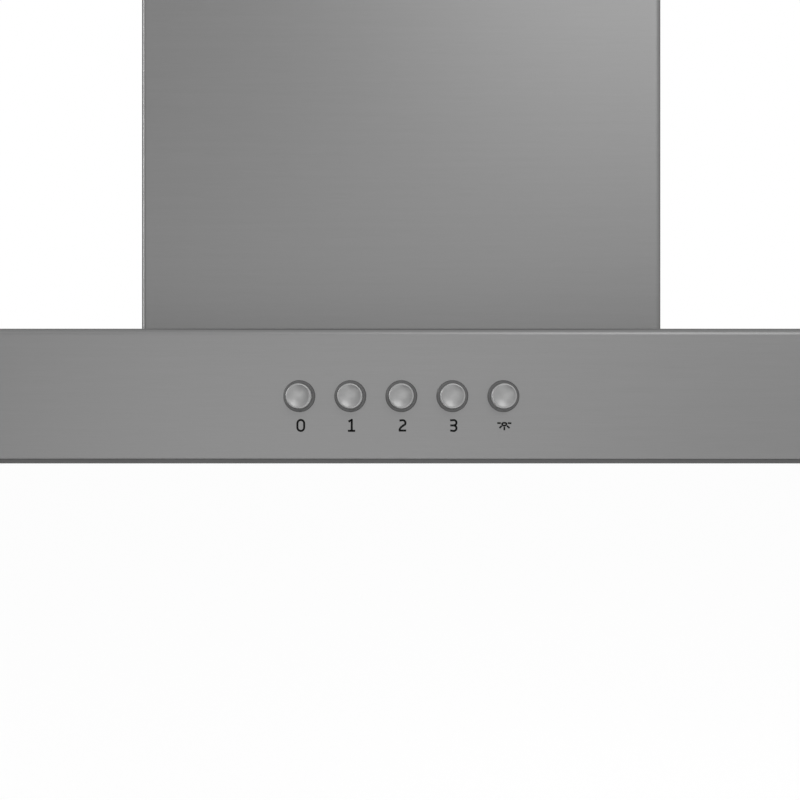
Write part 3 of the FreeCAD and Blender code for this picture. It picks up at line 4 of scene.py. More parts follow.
import bmesh
import bpy
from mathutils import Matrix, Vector


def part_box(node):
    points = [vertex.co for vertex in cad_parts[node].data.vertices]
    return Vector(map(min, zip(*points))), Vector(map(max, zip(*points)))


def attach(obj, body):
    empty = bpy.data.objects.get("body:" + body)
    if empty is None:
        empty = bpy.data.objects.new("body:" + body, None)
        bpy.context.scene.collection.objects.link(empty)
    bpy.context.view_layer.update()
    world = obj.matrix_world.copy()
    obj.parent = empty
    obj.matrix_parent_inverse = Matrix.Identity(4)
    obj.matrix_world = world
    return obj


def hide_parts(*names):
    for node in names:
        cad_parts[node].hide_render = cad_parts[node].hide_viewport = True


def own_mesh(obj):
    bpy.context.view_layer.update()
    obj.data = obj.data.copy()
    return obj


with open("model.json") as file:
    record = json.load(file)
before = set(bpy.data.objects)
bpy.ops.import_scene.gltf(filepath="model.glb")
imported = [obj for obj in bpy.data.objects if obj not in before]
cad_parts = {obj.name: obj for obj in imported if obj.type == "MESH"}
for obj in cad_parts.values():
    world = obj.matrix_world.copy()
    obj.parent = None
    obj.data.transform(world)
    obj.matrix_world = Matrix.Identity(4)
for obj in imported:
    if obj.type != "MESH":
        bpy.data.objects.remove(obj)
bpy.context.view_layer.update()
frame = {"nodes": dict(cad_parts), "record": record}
NODES = frame["nodes"]
MM = 0.001

# Fascia and controls, in metres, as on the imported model
BUTTON_NAMES = ["button_0", "button_1", "button_2", "button_3", "button_light"]
FASCIA_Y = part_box("canopy_shell")[0].y
LEGEND_Z = 14.9 * MM
LEGEND_SHIFT_X = 0.4 * MM  # the print sits a little right of the buttons
INK_T = 0.03 * MM
FIGURE_STROKE_W = 0.8 * MM
SIGN_STROKE_W = 0.66 * MM

# Expanded metal of the grease filters, in metres
CELL_X = 12.0 * MM
CELL_Y = 6.0 * MM
STRAND_W = 1.9 * MM
STRAND_T = 0.7 * MM
STRAND_TILT = math.radians(25)
LAYER_STEP = 2.2 * MM
POCKET_HALF_W = 32.1 * MM  # room left round the handle's housing
POCKET_D = 30.1 * MM

# Return springs of the buttons, in metres
SPRING_WIRE_R = 0.4 * MM
SPRING_TURNS = 6
SPRING_TURN_STEPS = 24
SPRING_WIRE_SIDES = 8

# Cable from the switch, under the deck and up inside the fan box, to the terminal box, in millimetres
CABLE_R = 3.0
CABLE_ROUTE = [
    (30.0, -464.4, 26.4),
    (30.0, -426.4, 26.4),
    (30.0, -384.4, 45.0),
    (104.0, -306.0, 45.0),
    (104.0, -234.0, 45.0),
    (104.0, -234.0, 192.0),
    (101.0, -234.0, 267.5),
    (101.0, -234.0, 311.5),
]
CABLE_STEPS = 12  # between two points of the route
CABLE_ROUND_STEPS = 4

# Ring prisms in the lower face of the lamp lenses, in metres
LENS_PRISMS = 7
LENS_GROOVE_D = 0.7 * MM
LENS_SIDES = 96

# Camera of the photograph, lengths in metres where no other unit is named
PHOTO_PX = 800
FOCAL_PX = 1526.0
SENSOR_MM = 36.0
CAMERA_AWAY = 0.598  # from the fascia
CAMERA_X = -0.19 * MM
CAMERA_Y = FASCIA_Y - CAMERA_AWAY
CAMERA_Z = 14.66 * MM
AXIS_COLUMN = 400.85  # pixel that the camera's axis meets
AXIS_ROW = 426.1

# Studio, in metres and in levels of light, white being 1
FLOOR_Z = -0.65  # worktop height below a mounted hood
FLOOR_HALF_W = 30.0
FLOOR_LIFT = 0.35
AMBIENT = 0.7
STAGE_MIDDLE = (0.0, -0.4, 0.15)  # the point that lights and cards face
SQUARE = [(-1, -1), (1, -1), (1, 1), (-1, 1)]  # corners of a floor or card, half its width being 1

# Stainless sheet grows little brighter where it is seen at a slant
EDGE_TINT = (0.6, 0.6, 0.6, 1.0)
FLAT_SLOPE = 0.7  # faces with more upward normals have the grain of the deck


# Node helpers
class Look:
    """A procedural material: a principled shader with helpers for what feeds it."""

    def __init__(self, name, colour, metallic=0.0, roughness=0.5):
        self.material = bpy.data.materials.new(name)
        self.material.use_nodes = True
        self.tree = self.material.node_tree
        self.shader = self.tree.nodes["Principled BSDF"]
        self.set("Base Color", (*colour, 1.0))
        self.set("Metallic", metallic)
        self.set("Roughness", roughness)
        self.colour = colour

    def set(self, socket, value):
        self.shader.inputs[socket].default_value = value

    def node(self, kind, inputs=None, **settings):
        made = self.tree.nodes.new(kind)
        for key, value in settings.items():
            setattr(made, key, value)
        for key, value in (inputs or {}).items():
            if isinstance(value, bpy.types.NodeSocket):
                self.tree.links.new(value, made.inputs[key])
            else:
                made.inputs[key].default_value = value
        return made

    def place(self):
        """Coordinates on the piece itself, in metres."""
        return self.node("ShaderNodeTexCoord").outputs["Object"]

    def scaled(self, place, scale):
        return self.node("ShaderNodeMapping", {"Vector": place, "Scale": scale}).outputs["Vector"]

    def noise(self, place, scale, detail=2.0, rough=0.5):
        made = self.node(
            "ShaderNodeTexNoise", {"Vector": place, "Scale": scale, "Detail": detail, "Roughness": rough}
        )
        return made.outputs["Fac"]

    def span(self, value, low, high, start=0.0, end=1.0):
        """The value moved from start..end to low..high."""
        made = self.node(
            "ShaderNodeMapRange",
            {"Value": value, "From Min": start, "From Max": end, "To Min": low, "To Max": high},
        )
        return made.outputs["Result"]

    def math(self, operation, first, second=0.0):
        return self.node("ShaderNodeMath", {0: first, 1: second}, operation=operation).outputs["Value"]

    def either(self, factor, first, second):
        """The first value where the factor is none, the second where it is one."""
        return self.node("ShaderNodeMix", {"Factor": factor, "A": first, "B": second}).outputs["Result"]

    def tint(self, factor):
        """The base colour times a factor that varies over the surface."""
        made = self.node("ShaderNodeVectorMath", {0: self.colour, "Scale": factor}, operation="SCALE")
        self.tree.links.new(made.outputs["Vector"], self.shader.inputs["Base Color"])

    def feed(self, socket, value):
        self.tree.links.new(value, self.shader.inputs[socket])

    def bump(self, height, depth, strength=1.0):
        made = self.node("ShaderNodeBump", {"Height": height, "Distance": depth, "Strength": strength})
        self.tree.links.new(made.outputs["Normal"], self.shader.inputs["Normal"])


# Materials
def brushed_steel():
    """Stainless sheet with a fine grain: level on the upright faces, side to side on the deck."""
    look = Look("brushed stainless", (0.226, 0.226, 0.226), metallic=1.0, roughness=0.37)
    look.set("Specular Tint", EDGE_TINT)
    parts = look.node("ShaderNodeSeparateXYZ", {"Vector": look.place()}).outputs
    normal = look.node("ShaderNodeNewGeometry").outputs["Normal"]
    upright = look.node("ShaderNodeSeparateXYZ", {"Vector": normal}).outputs["Z"]
    flat = look.math("GREATER_THAN", look.math("ABSOLUTE", upright), FLAT_SLOPE)
    around = look.math("ADD", parts["X"], parts["Y"])
    across = look.either(flat, parts["Z"], parts["Y"])
    level = look.either(flat, around, parts["X"])
    line = look.node("ShaderNodeCombineXYZ", {"X": level, "Y": across}).outputs["Vector"]
    fine = look.noise(look.scaled(line, (60.0, 3600.0, 1.0)), 1.0, detail=3.0, rough=0.6)
    broad = look.noise(look.scaled(line, (9.0, 420.0, 1.0)), 1.0, detail=2.0)
    grain = look.math("ADD", look.math("MULTIPLY", fine, 0.7), look.math("MULTIPLY", broad, 0.3))
    look.tint(look.span(grain, 0.95, 1.05, 0.25, 0.75))
    look.feed("Roughness", look.span(grain, 0.33, 0.41, 0.2, 0.8))
    look.bump(grain, 0.002 * MM, 0.25)
    return look.material


def satin_paint():
    """Dark grey stove paint with a faint orange peel."""
    look = Look("dark grey paint", (0.092, 0.092, 0.092), roughness=0.42)
    place = look.place()
    look.tint(look.span(look.noise(place, 30.0, 3.0), 0.92, 1.08, 0.3, 0.7))
    look.feed("Roughness", look.span(look.noise(place, 120.0), 0.36, 0.5))
    look.bump(look.noise(place, 900.0, 1.0), 0.01 * MM, 0.5)
    return look.material


def zinc_sheet():
    """Galvanised sheet with its crystal pattern."""
    look = Look("galvanised sheet", (0.46, 0.47, 0.48), metallic=0.9, roughness=0.45)
    place = look.place()
    cells = look.node("ShaderNodeTexVoronoi", {"Vector": place, "Scale": 95.0}).outputs["Color"]
    shade = look.node("ShaderNodeSeparateColor", {"Color": cells}).outputs["Red"]
    mixed = look.math("ADD", shade, look.noise(place, 40.0, 4.0))
    look.tint(look.span(mixed, 0.84, 1.12, 0.3, 1.6))
    look.feed("Roughness", look.span(mixed, 0.36, 0.56, 0.3, 1.6))
    look.bump(look.noise(place, 500.0, 3.0), 0.01 * MM, 0.4)
    return look.material


def mill_aluminium():
    """Filter aluminium: rolled lines and a light oxide bloom."""
    look = Look("mill aluminium", (0.58, 0.585, 0.59), metallic=1.0, roughness=0.42)
    place = look.place()
    rolled = look.noise(look.scaled(place, (40.0, 1500.0, 40.0)), 1.0, 2.0)
    bloom = look.noise(place, 22.0, 5.0, 0.6)
    look.tint(look.span(look.math("ADD", rolled, bloom), 0.86, 1.08, 0.6, 1.4))
    look.feed("Roughness", look.span(bloom, 0.34, 0.54, 0.3, 0.7))
    look.bump(rolled, 0.005 * MM, 0.4)
    return look.material


def satin_chrome():
    """Satin-plated button: a finely lapped face, a painted highlight on its rounded rim and a rougher,
    less metallic side lit by a painted sheen.
    """
    look = Look("satin chrome", (0.305, 0.305, 0.305), metallic=1.0, roughness=0.36)
    place = look.place()
    fine = look.noise(place, 6000.0, 2.0)
    normal = look.node("ShaderNodeNewGeometry").outputs["Normal"]
    slant = look.math("ABSOLUTE", look.node("ShaderNodeSeparateXYZ", {"Vector": normal}).outputs["Y"])
    # Painted highlight: the base colour grows brighter on the rounded rim, picked out by how far the
    # normal slants from the face.
    painted_edge_highlight = look.span(slant, 0.8, 0.0, 0.78, 0.88)
    # Painted sheen: the side gets a lighter base colour by its slant, on top of its lower metallic and
    # higher roughness.
    wall = look.span(slant, 0.55, 0.0, 0.05, 0.35)
    mottle = look.span(look.noise(place, 500.0, 3.0), 0.95, 1.05, 0.3, 0.7)
    # The rim and side terms lift the base colour above the face's: painted highlight and painted sheen,
    # not a colour of the plating.
    look.tint(look.math("ADD", look.math("ADD", mottle, painted_edge_highlight), wall))
    look.feed("Metallic", look.span(wall, 1.0, 0.35, 0.0, 0.55))
    lapped = look.span(fine, 0.32, 0.4, 0.3, 0.7)
    blasted = look.math("MULTIPLY", wall, 0.4)
    look.feed("Roughness", look.math("ADD", lapped, blasted))
    look.bump(fine, 0.003 * MM, 0.3)
    return look.material


def moulded_plastic(name, colour, roughness, grain=3500.0):
    """Injection-moulded plastic with a spark-eroded grain."""
    look = Look(name, colour, roughness=roughness)
    place = look.place()
    look.tint(look.span(look.noise(place, 60.0, 3.0), 0.92, 1.08, 0.3, 0.7))
    sheen = look.noise(place, 300.0)
    look.feed("Roughness", look.span(sheen, roughness - 0.07, roughness + 0.07, 0.3, 0.7))
    look.bump(look.noise(place, grain, 2.0), 0.01 * MM, 0.5)
    return look.material


def frosted_lens():
    """Opal lamp cover with a faintly pebbled skin."""
    look = Look("frosted lens", (0.82, 0.82, 0.80), roughness=0.35)
    look.set("Transmission Weight", 0.35)
    look.set("IOR", 1.49)
    place = look.place()
    pebbles = look.noise(place, 900.0)
    look.tint(look.span(look.noise(place, 80.0, 3.0), 0.93, 1.01, 0.3, 0.7))
    look.feed("Roughness", look.span(pebbles, 0.28, 0.45))
    look.bump(pebbles, 0.02 * MM, 0.4)
    return look.material


def soft_rubber(name, colour):
    """Matt rubber or soft sheathing."""
    look = Look(name, colour, roughness=0.7)
    place = look.place()
    look.tint(look.span(look.noise(place, 150.0, 4.0), 0.85, 1.15, 0.3, 0.7))
    look.feed("Roughness", look.span(look.noise(place, 400.0), 0.6, 0.8))
    look.bump(look.noise(place, 2000.0, 2.0), 0.02 * MM, 0.5)
    return look.material


def plain_metal(name, colour, roughness, grain=800.0):
    """Turned, cast or plated metal with a mottled finish."""
    look = Look(name, colour, metallic=1.0, roughness=roughness)
    place = look.place()
    mottle = look.noise(place, grain, 4.0, 0.6)
    look.tint(look.span(mottle, 0.88, 1.1, 0.3, 0.7))
    look.feed("Roughness", look.span(mottle, roughness - 0.08, roughness + 0.1, 0.3, 0.7))
    look.bump(mottle, 0.01 * MM, 0.4)
    return look.material


def stacked_core():
    """Motor core: the edges of thin stacked sheets, side by side along X."""
    look = Look("core steel", (0.20, 0.20, 0.21), metallic=0.8, roughness=0.5)
    place = look.place()
    wave = look.node(
        "ShaderNodeTexWave", {"Vector": place, "Scale": 320.0}, bands_direction="X"
    ).outputs["Fac"]
    uneven = look.math("ADD", wave, look.noise(place, 90.0, 3.0))
    look.tint(look.span(uneven, 0.7, 1.15, 0.3, 1.7))
    look.feed("Roughness", look.span(wave, 0.4, 0.6))
    look.bump(wave, 0.05 * MM, 0.5)
    return look.material


def wound_copper():
    """Varnished windings, wire beside wire."""
    look = Look("varnished copper", (0.50, 0.22, 0.10), metallic=0.9, roughness=0.35)
    place = look.place()
    wave = look.node(
        "ShaderNodeTexWave", {"Vector": place, "Scale": 260.0, "Distortion": 6.0, "Detail": 1.0},
        bands_direction="DIAGONAL",
    ).outputs["Fac"]
    look.tint(look.span(wave, 0.6, 1.15))
    look.feed("Roughness", look.span(wave, 0.45, 0.28))
    look.bump(wave, 0.2 * MM, 0.6)
    return look.material


def printed_ink():
    """Screen print: near black, a little uneven."""
    look = Look("black print", (0.004, 0.004, 0.004), roughness=0.6)
    look.set("Specular IOR Level", 0.1)
    place = look.place()
    look.tint(look.span(look.noise(place, 4000.0, 2.0), 0.7, 1.3, 0.3, 0.7))
    look.feed("Roughness", look.span(look.noise(place, 1500.0), 0.48, 0.62))
    look.bump(look.noise(place, 5000.0, 1.0), 0.004 * MM, 0.4)
    return look.material


LOOKS = {
    "stainless": brushed_steel(),
    "underside_grey": satin_paint(),
    "galvanised": zinc_sheet(),
    "filter_aluminium": mill_aluminium(),
    "satin_chrome": satin_chrome(),
    "switch_plastic": moulded_plastic("grey moulding", (0.102, 0.102, 0.102), 0.45),
    "fan_plastic": moulded_plastic("black moulding", (0.035, 0.035, 0.037), 0.5),
    "lamp_lens": frosted_lens(),
    "rubber": soft_rubber("black rubber", (0.02, 0.02, 0.02)),
    "cable_sheath": soft_rubber("grey sheath", (0.2, 0.2, 0.2)),
    "brass": plain_metal("brass", (0.62, 0.46, 0.18), 0.3),
    "copper": wound_copper(),
    "core_steel": stacked_core(),
    "cast_aluminium": plain_metal("cast aluminium", (0.50, 0.50, 0.51), 0.5, 400.0),
    "bright_steel": plain_metal("zinc-plated steel", (0.52, 0.53, 0.54), 0.32),
    "circuit_board": moulded_plastic("white board", (0.72, 0.72, 0.69), 0.4),
}
INK = printed_ink()


def dress_nodes():
    """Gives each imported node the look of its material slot."""
    for part in frame["record"]["subparts"]:
        mesh = NODES[part["node"]].data
        mesh.materials.clear()
        mesh.materials.append(LOOKS[part["material_slot"]])


# Pieces
def add_piece(name, mesh, material, body):
    """A mesh or curve as a piece of its own that rides on a body."""
    mesh.materials.append(material)
    piece = bpy.data.objects.new(name, mesh)
    bpy.context.scene.collection.objects.link(piece)
    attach(piece, body)
    return piece


def mesh_from(name, build):
    """A mesh filled by a function that is given an empty bmesh."""
    mesh = bpy.data.meshes.new(name)
    bm = bmesh.new()
    build(bm)
    bmesh.ops.recalc_face_normals(bm, faces=bm.faces)
    bm.to_mesh(mesh)
    bm.free()
    return mesh


def join_rings(bm, rings, closed=False):
    """Skins a row of rings of vertices, and joins it into a loop or caps both ends."""
    following = rings[1:] + rings[:1] if closed else rings[1:]
    for a, b in zip(rings, following):
        for index in range(len(a)):
            after = (index + 1) % len(a)
            bm.faces.new((a[index], a[after], b[after], b[index]))
    if not closed:
        bm.faces.new(rings[0])
        bm.faces.new(rings[-1])


def arc_points(cx, cz, rx, rz, start, end, steps):
    """Points on an ellipse, angles in degrees from +X towards +Z."""
    points = []
    for step in range(steps + 1):
        angle = math.radians(start + (end - start) * step / steps)
        points.append((cx + rx * math.cos(angle), cz + rz * math.sin(angle)))
    return points


def add_stroke(bm, points, width, origin, closed=False):
    """A flat stroke of ink along 2-D points, standing proud of the fascia."""
    count = len(points)
    rings = []
    for index, (x, z) in enumerate(points):
        before = points[index - 1] if closed or index else points[index]
        after = points[(index + 1) % count] if closed or index < count - 1 else points[index]
        run = Vector((after[0] - before[0], after[1] - before[1])).normalized()
        side = Vector((-run.y, run.x)) * (width / 2)
        ring = []
        for sign, depth in ((-1, 0.0), (-1, INK_T), (1, INK_T), (1, 0.0)):
            spot = origin + Vector((x + side.x * sign, -depth, z + side.y * sign))
            ring.append(bm.verts.new(spot))
        rings.append(ring)
    join_rings(bm, rings, closed)


# Strokes of the figures and the lamp sign, in millimetres round their own middle, True for a closed one
def figure_zero():
    top = arc_points(0.2, 0.8, 1.33, 1.36, 0, 180, 20)
    foot = arc_points(0.2, -0.76, 1.33, 1.36, 180, 360, 20)
    return [(top + foot, True)]


def figure_one():
    flag = [(-1.1, 1.5), (0.3, 2.28)]
    stem = [(0.17, 2.55), (0.17, -2.1)]
    foot = [(-1.32, -2.1), (1.52, -2.1)]
    return [(stroke, False) for stroke in (flag, stem, foot)]


def figure_two():
    top = [(-1.12, 1.93)] + arc_points(0.08, 0.98, 1.13, 1.1, 95, -35, 16)
    sweep = [(0.5, 0.1), (-0.2, -0.4), (-0.75, -0.95), (-1.06, -1.5)]
    return [(top + sweep + [(-1.12, -2.0)], False), ([(-1.4, -1.98), (1.5, -1.98)], False)]


def figure_three():
    upper = [(-1.3, 2.02)] + arc_points(0.15, 1.08, 1.06, 1.04, 90, -75, 14)
    lower = arc_points(0.05, -1.06, 1.16, 1.1, 75, -90, 14) + [(-1.25, -1.95)]
    return [(upper, False), ([(-1.22, 0.03), (0.75, 0.03)], False), (lower, False)]


def lamp_sign():
    top = arc_points(-0.05, 0.66, 0.88, 0.38, 0, 180, 12)
    bowl = arc_points(-0.05, 0.66, 0.88, 0.74, 180, 360, 14)
    level_rays = [[(-2.8, 0.93), (-1.42, 0.93)], [(1.32, 0.95), (2.75, 0.85)]]
    slanted_rays = [[(-1.0, -0.14), (-1.98, -1.02)], [(0.98, -0.1), (2.0, -1.06)]]
    upright_ray = [(-0.03, -0.52), (-0.03, -1.88)]
    rays = level_rays + slanted_rays + [upright_ray]
    return [(top + bowl, True)] + [(ray, False) for ray in rays]


def add_legends():
    """The print under the buttons."""
    figures = [figure_zero(), figure_one(), figure_two(), figure_three()]
    drawings = [(strokes, FIGURE_STROKE_W) for strokes in figures] + [(lamp_sign(), SIGN_STROKE_W)]
    for name, (strokes, width) in zip(BUTTON_NAMES, drawings):
        low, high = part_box(name)
        origin = Vector(((low.x + high.x) / 2 + LEGEND_SHIFT_X, FASCIA_Y, LEGEND_Z))

        def build(bm):
            for points, closed in strokes:
                add_stroke(bm, [(x * MM, z * MM) for x, z in points], width, origin, closed)

        mesh = mesh_from(f"legend_{name}", build)
        add_piece(f"legend_{name}", mesh, INK, "hood")


# Grease filters
def add_strip(bm, stations, across, through):
    """A closed ribbon of metal through a row of points."""
    corners = (-across - through, across - through, across + through, through - across)
    rings = []
    for spot in stations:
        rings.append([bm.verts.new(spot + corner) for corner in corners])
    join_rings(bm, rings)


def add_layer(bm, low, high, z, shift):
    """One sheet of expanded metal: zigzag strands that meet at their peaks, clear of the handle."""
    across = Vector((0.0, math.cos(STRAND_TILT), math.sin(STRAND_TILT))) * (STRAND_W / 2)
    through = Vector((0.0, -math.sin(STRAND_TILT), math.cos(STRAND_TILT))) * (STRAND_T / 2)
    rise = (CELL_Y - STRAND_T) / 2
    middle = (low.x + high.x) / 2
    rows = int((high.y - low.y - STRAND_W) / CELL_Y)
    cells = int((high.x - low.x - abs(shift)) / CELL_X)
    start_x = middle + shift - cells * CELL_X / 2
    start_y = (low.y + high.y - (rows - 1) * CELL_Y) / 2
    for row in range(rows):
        y = start_y + row * CELL_Y
        beside_pocket = y - CELL_Y / 2 - STRAND_W / 2 < low.y + POCKET_D
        strips = [[]]
        for index in range(2 * cells + 1):
            x = start_x + index * CELL_X / 2
            side = 1 if (index + row) % 2 else -1
            if beside_pocket and abs(x - middle) < POCKET_HALF_W:
                strips.append([])
            else:
                strips[-1].append(Vector((x, y + side * rise, z)))
        for strip in strips:
            if len(strip) > 1:
                add_strip(bm, strip, across, through)


def add_filter_meshes():
    """Three sheets of expanded metal in each filter, two close together below and one on top."""
    half = STRAND_W / 2 * math.sin(STRAND_TILT) + STRAND_T / 2 * math.cos(STRAND_TILT)
    for body in ("filter_left", "filter_right"):
        node = f"{body}_mesh"
        low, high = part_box(node)
        first = low.z + half
        layers = [(first, 0.0), (first + LAYER_STEP, CELL_X / 4), (high.z - half, 0.0)]

        def build(bm):
            for z, shift in layers:
                add_layer(bm, low, high, z, shift)

        name = f"{body}_expanded_metal"
        mesh = mesh_from(name, build)
        piece = add_piece(name, mesh, LOOKS["filter_aluminium"], body)
        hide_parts(node)


# Lamps
def lens_profile(low_z, high_z, radius):
    """Radius and height from the middle of the lower face to the rim of the upper one."""
    step = radius / (LENS_PRISMS + 2)  # one step for the flat middle and one for the flat rim
    profile = [(step, low_z)]
    for prism in range(1, LENS_PRISMS + 1):
        profile.append((step * prism, low_z + LENS_GROOVE_D))
        profile.append((step * (prism + 1), low_z))
    return profile + [(radius, low_z), (radius, high_z)]


def add_lenses():
    """Lamp lenses with rings of prisms."""
    for lamp in ("lamp_left", "lamp_right"):
        node = f"{lamp}_lens"
        low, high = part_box(node)
        middle = (low + high) / 2
        profile = lens_profile(low.z, high.z, (high.x - low.x) / 2)

        def build(bm):
            rings = []
            for radius, z in profile:
                ring = []
                for index in range(LENS_SIDES):
                    angle = 2 * math.pi * index / LENS_SIDES
                    x = middle.x + radius * math.cos(angle)
                    y = middle.y + radius * math.sin(angle)
                    ring.append(bm.verts.new((x, y, z)))
                rings.append(ring)
            join_rings(bm, rings)

        name = f"{lamp}_prism_lens"
        mesh = mesh_from(name, build)
        piece = add_piece(name, mesh, LOOKS["lamp_lens"], "hood")
        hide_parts(node)


# Springs and cable
def add_springs():
    """Return springs of coiled wire in place of the spring nodes, fixed to the hood."""
    steps = SPRING_TURN_STEPS * SPRING_TURNS
    for name in BUTTON_NAMES:
        node = f"{name}_spring"
        low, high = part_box(node)
        middle = (low + high) / 2
        coil_r = (high.x - low.x) / 2 - SPRING_WIRE_R
        length = high.y - low.y
        start = low.y + SPRING_WIRE_R
        rise = length - 2 * SPRING_WIRE_R

        def build(bm):
            rings = []
            for step in range(steps + 1):
                turn = 2 * math.pi * SPRING_TURNS * step / steps
                out = Vector((math.cos(turn), 0.0, math.sin(turn)))
                centre = Vector((middle.x, start + rise * step / steps, middle.z)) + out * coil_r
                ring = []
                for side in range(SPRING_WIRE_SIDES):
                    angle = 2 * math.pi * side / SPRING_WIRE_SIDES
                    offset = out * math.cos(angle) + Vector((0.0, math.sin(angle), 0.0))
                    ring.append(bm.verts.new(centre + offset * SPRING_WIRE_R))
                rings.append(ring)
            join_rings(bm, rings)

        mesh = mesh_from(f"{name}_return_spring", build)
        piece = add_piece(f"{name}_return_spring", mesh, LOOKS["bright_steel"], "hood")
        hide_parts(node)
        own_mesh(piece)


def add_cable():
    """The control cable as a smooth cord."""
    curve = bpy.data.curves.new("control_cable_sheath", "CURVE")
    curve.dimensions = "3D"
    curve.resolution_u = CABLE_STEPS
    curve.bevel_depth = CABLE_R * MM
    curve.bevel_resolution = CABLE_ROUND_STEPS
    curve.use_fill_caps = True
    spline = curve.splines.new("NURBS")
    spline.points.add(len(CABLE_ROUTE) - 1)
    for point, (x, y, z) in zip(spline.points, CABLE_ROUTE):
        point.co = (x * MM, y * MM, z * MM, 1.0)
    spline.order_u = 3
    spline.use_endpoint_u = True
    cable = add_piece("control_cable_sheath", curve, LOOKS["cable_sheath"], "hood")
    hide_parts("control_cable")


# Studio
def add_stage_plane(name, corners, material):
    """A plane of the studio, not of the hood."""
    mesh = bpy.data.meshes.new(name)
    mesh.from_pydata(corners, [], [(0, 1, 2, 3)])
    mesh.materials.append(material)
    plane = bpy.data.objects.new(name, mesh)
    bpy.context.scene.collection.objects.link(plane)
    return plane


def seen_directly(tree):
    """One for camera, mirrored and refracted rays, none for the rest."""
    rays = tree.nodes.new("ShaderNodeLightPath").outputs
    total = rays["Is Camera Ray"]
    for name in ("Is Glossy Ray", "Is Transmission Ray"):
        add = tree.nodes.new("ShaderNodeMath")
        add.operation = "MAXIMUM"
        tree.links.new(total, add.inputs[0])
        tree.links.new(rays[name], add.inputs[1])
        total = add.outputs[0]
    return total


def pale_floor():
    """Pale floor, lifted to white where it is seen, open from below, with the shadow kept."""
    material = bpy.data.materials.new("pale floor")
    material.use_nodes = True
    tree = material.node_tree
    shader = tree.nodes["Principled BSDF"]
    shader.inputs["Base Color"].default_value = (0.9, 0.9, 0.9, 1.0)
    shader.inputs["Roughness"].default_value = 0.9
    shader.inputs["Specular IOR Level"].default_value = 0.0
    lift = tree.nodes.new("ShaderNodeEmission")
    level = tree.nodes.new("ShaderNodeMath")
    level.operation = "MULTIPLY"
    level.inputs[1].default_value = FLOOR_LIFT
    tree.links.new(seen_directly(tree), level.inputs[0])
    tree.links.new(level.outputs[0], lift.inputs["Strength"])
    both = tree.nodes.new("ShaderNodeAddShader")
    tree.links.new(shader.outputs[0], both.inputs[0])
    tree.links.new(lift.outputs[0], both.inputs[1])
    side = tree.nodes.new("ShaderNodeMixShader")
    tree.links.new(tree.nodes.new("ShaderNodeNewGeometry").outputs["Backfacing"], side.inputs[0])
    tree.links.new(both.outputs[0], side.inputs[1])
    tree.links.new(tree.nodes.new("ShaderNodeBsdfTransparent").outputs[0], side.inputs[2])
    tree.links.new(side.outputs[0], tree.nodes["Material Output"].inputs["Surface"])
    return material


def add_floor():
    corners = []
    for x, y in SQUARE:
        corners.append((x * FLOOR_HALF_W, y * FLOOR_HALF_W, FLOOR_Z))
    add_stage_plane("floor", corners, pale_floor())


def facing_middle(centre):
    """The turn that makes a light or card face the hood."""
    return (Vector(STAGE_MIDDLE) - Vector(centre)).to_track_quat("-Z", "Y")


def add_card(name, centre, width, height, level):
    """A grey card in front of, beside or behind the hood, seen only in the metal."""
    material = bpy.data.materials.new(name)
    material.use_nodes = True
    tree = material.node_tree
    tree.nodes.clear()
    glow = tree.nodes.new("ShaderNodeEmission")
    glow.inputs["Strength"].default_value = level
    out = tree.nodes.new("ShaderNodeOutputMaterial")
    tree.links.new(glow.outputs[0], out.inputs["Surface"])
    corners = []
    turn = facing_middle(centre)
    for x, y in SQUARE:
        corners.append(Vector(centre) + turn @ Vector((x * width / 2, y * height / 2, 0.0)))
    card = add_stage_plane(name, corners, material)
    card.visible_camera = False
    card.visible_diffuse = False
    card.visible_transmission = False
    card.visible_shadow = False


def add_area_light(name, centre, width, height, level):
    """A soft box of a given brightness."""
    light = bpy.data.lights.new(name, "AREA")
    light.shape = "RECTANGLE"
    light.size, light.size_y = width, height
    light.energy = level * math.pi * width * height
    holder = bpy.data.objects.new(name, light)
    holder.location = centre
    holder.rotation_euler = facing_middle(centre).to_euler()
    holder.visible_camera = False
    bpy.context.scene.collection.objects.link(holder)


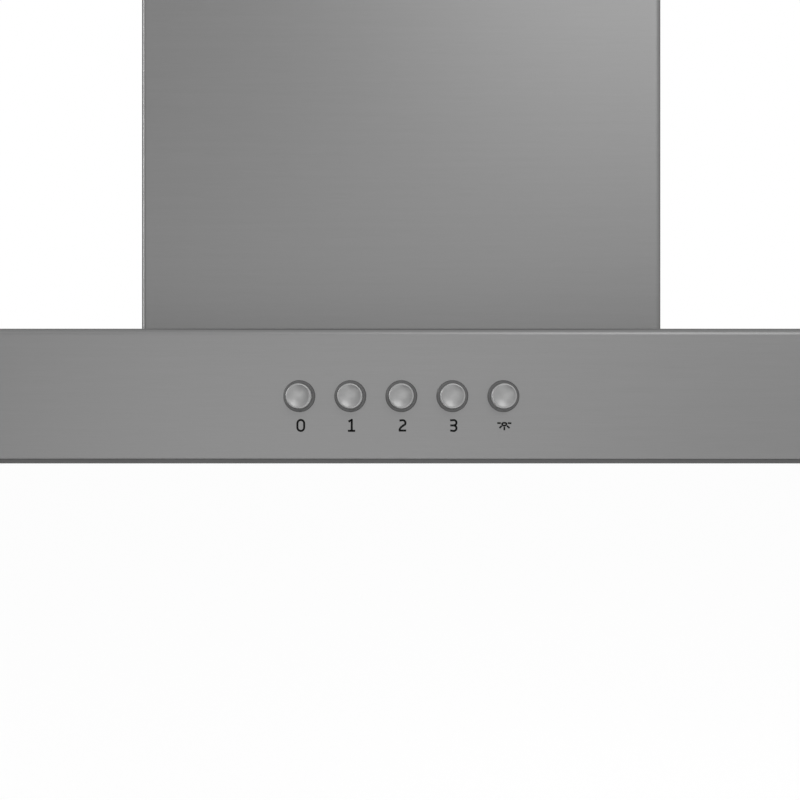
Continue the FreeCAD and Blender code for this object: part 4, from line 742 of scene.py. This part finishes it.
def add_world():
    """White where it is seen directly, a plain level of light for the rest."""
    world = bpy.data.worlds.new("studio")
    world.use_nodes = True
    bpy.context.scene.world = world
    tree = world.node_tree
    tree.nodes.clear()
    shades = []
    for level in (AMBIENT, 1.0):
        shade = tree.nodes.new("ShaderNodeBackground")
        shade.inputs["Color"].default_value = (1.0, 1.0, 1.0, 1.0)
        shade.inputs["Strength"].default_value = level
        shades.append(shade)
    mix = tree.nodes.new("ShaderNodeMixShader")
    tree.links.new(seen_directly(tree), mix.inputs["Fac"])
    tree.links.new(shades[0].outputs[0], mix.inputs[1])
    tree.links.new(shades[1].outputs[0], mix.inputs[2])
    out = tree.nodes.new("ShaderNodeOutputWorld")
    tree.links.new(mix.outputs[0], out.inputs["Surface"])


def add_lights():
    """Soft boxes and cards, each with its centre, width, height and level."""
    add_area_light("key softbox", (0.42, -2.12, 1.08), 0.74, 0.97, 2.02)
    add_area_light("front softbox", (-0.24, -2.29, 0.04), 1.11, 0.85, 0.69)
    add_area_light("left strip", (-1.4, -0.6, 0.45), 0.16, 1.1, 7.6)
    add_card("ceiling card", (0.0, -0.7, 2.6), 5.0, 3.8, 0.89)
    add_card("upper card", (-0.77, -3.05, 0.65), 2.6, 1.17, 0.58)
    add_card("left card", (-1.45, -2.65, -0.18), 1.29, 2.94, 0.5)
    add_card("right card", (1.51, 0.14, 0.09), 1.46, 1.78, 0.73)
    add_card("front right card", (0.82, -2.94, -0.26), 1.0, 0.88, 0.84)
    add_card("low card", (-0.36, -1.1, -0.58), 0.85, 0.6, 0.25)
    add_card("rear card", (0.0, 1.4, 1.7), 5.0, 1.6, 0.6)
    add_card("rear low card", (0.0, 1.6, 0.4), 2.2, 0.9, 0.2)
    add_card("rear left card", (-1.38, 0.72, 0.4), 1.4, 0.9, 0.1)


def add_camera():
    """The camera of the photograph, shifted as its crop is."""
    camera = bpy.data.cameras.new("camera")
    camera.sensor_width = SENSOR_MM
    camera.lens = FOCAL_PX / PHOTO_PX * SENSOR_MM
    camera.shift_x = -(AXIS_COLUMN - PHOTO_PX / 2) / PHOTO_PX
    camera.shift_y = (AXIS_ROW - PHOTO_PX / 2) / PHOTO_PX
    holder = bpy.data.objects.new("camera", camera)
    holder.location = (CAMERA_X, CAMERA_Y, CAMERA_Z)
    holder.rotation_euler = (math.radians(90), 0.0, 0.0)
    bpy.context.scene.collection.objects.link(holder)
    bpy.context.scene.camera = holder


dress_nodes()
add_legends()
add_filter_meshes()
add_lenses()
add_springs()
add_cable()
add_floor()
add_world()
add_lights()
add_camera()
bpy.context.scene.view_settings.view_transform = "Standard"
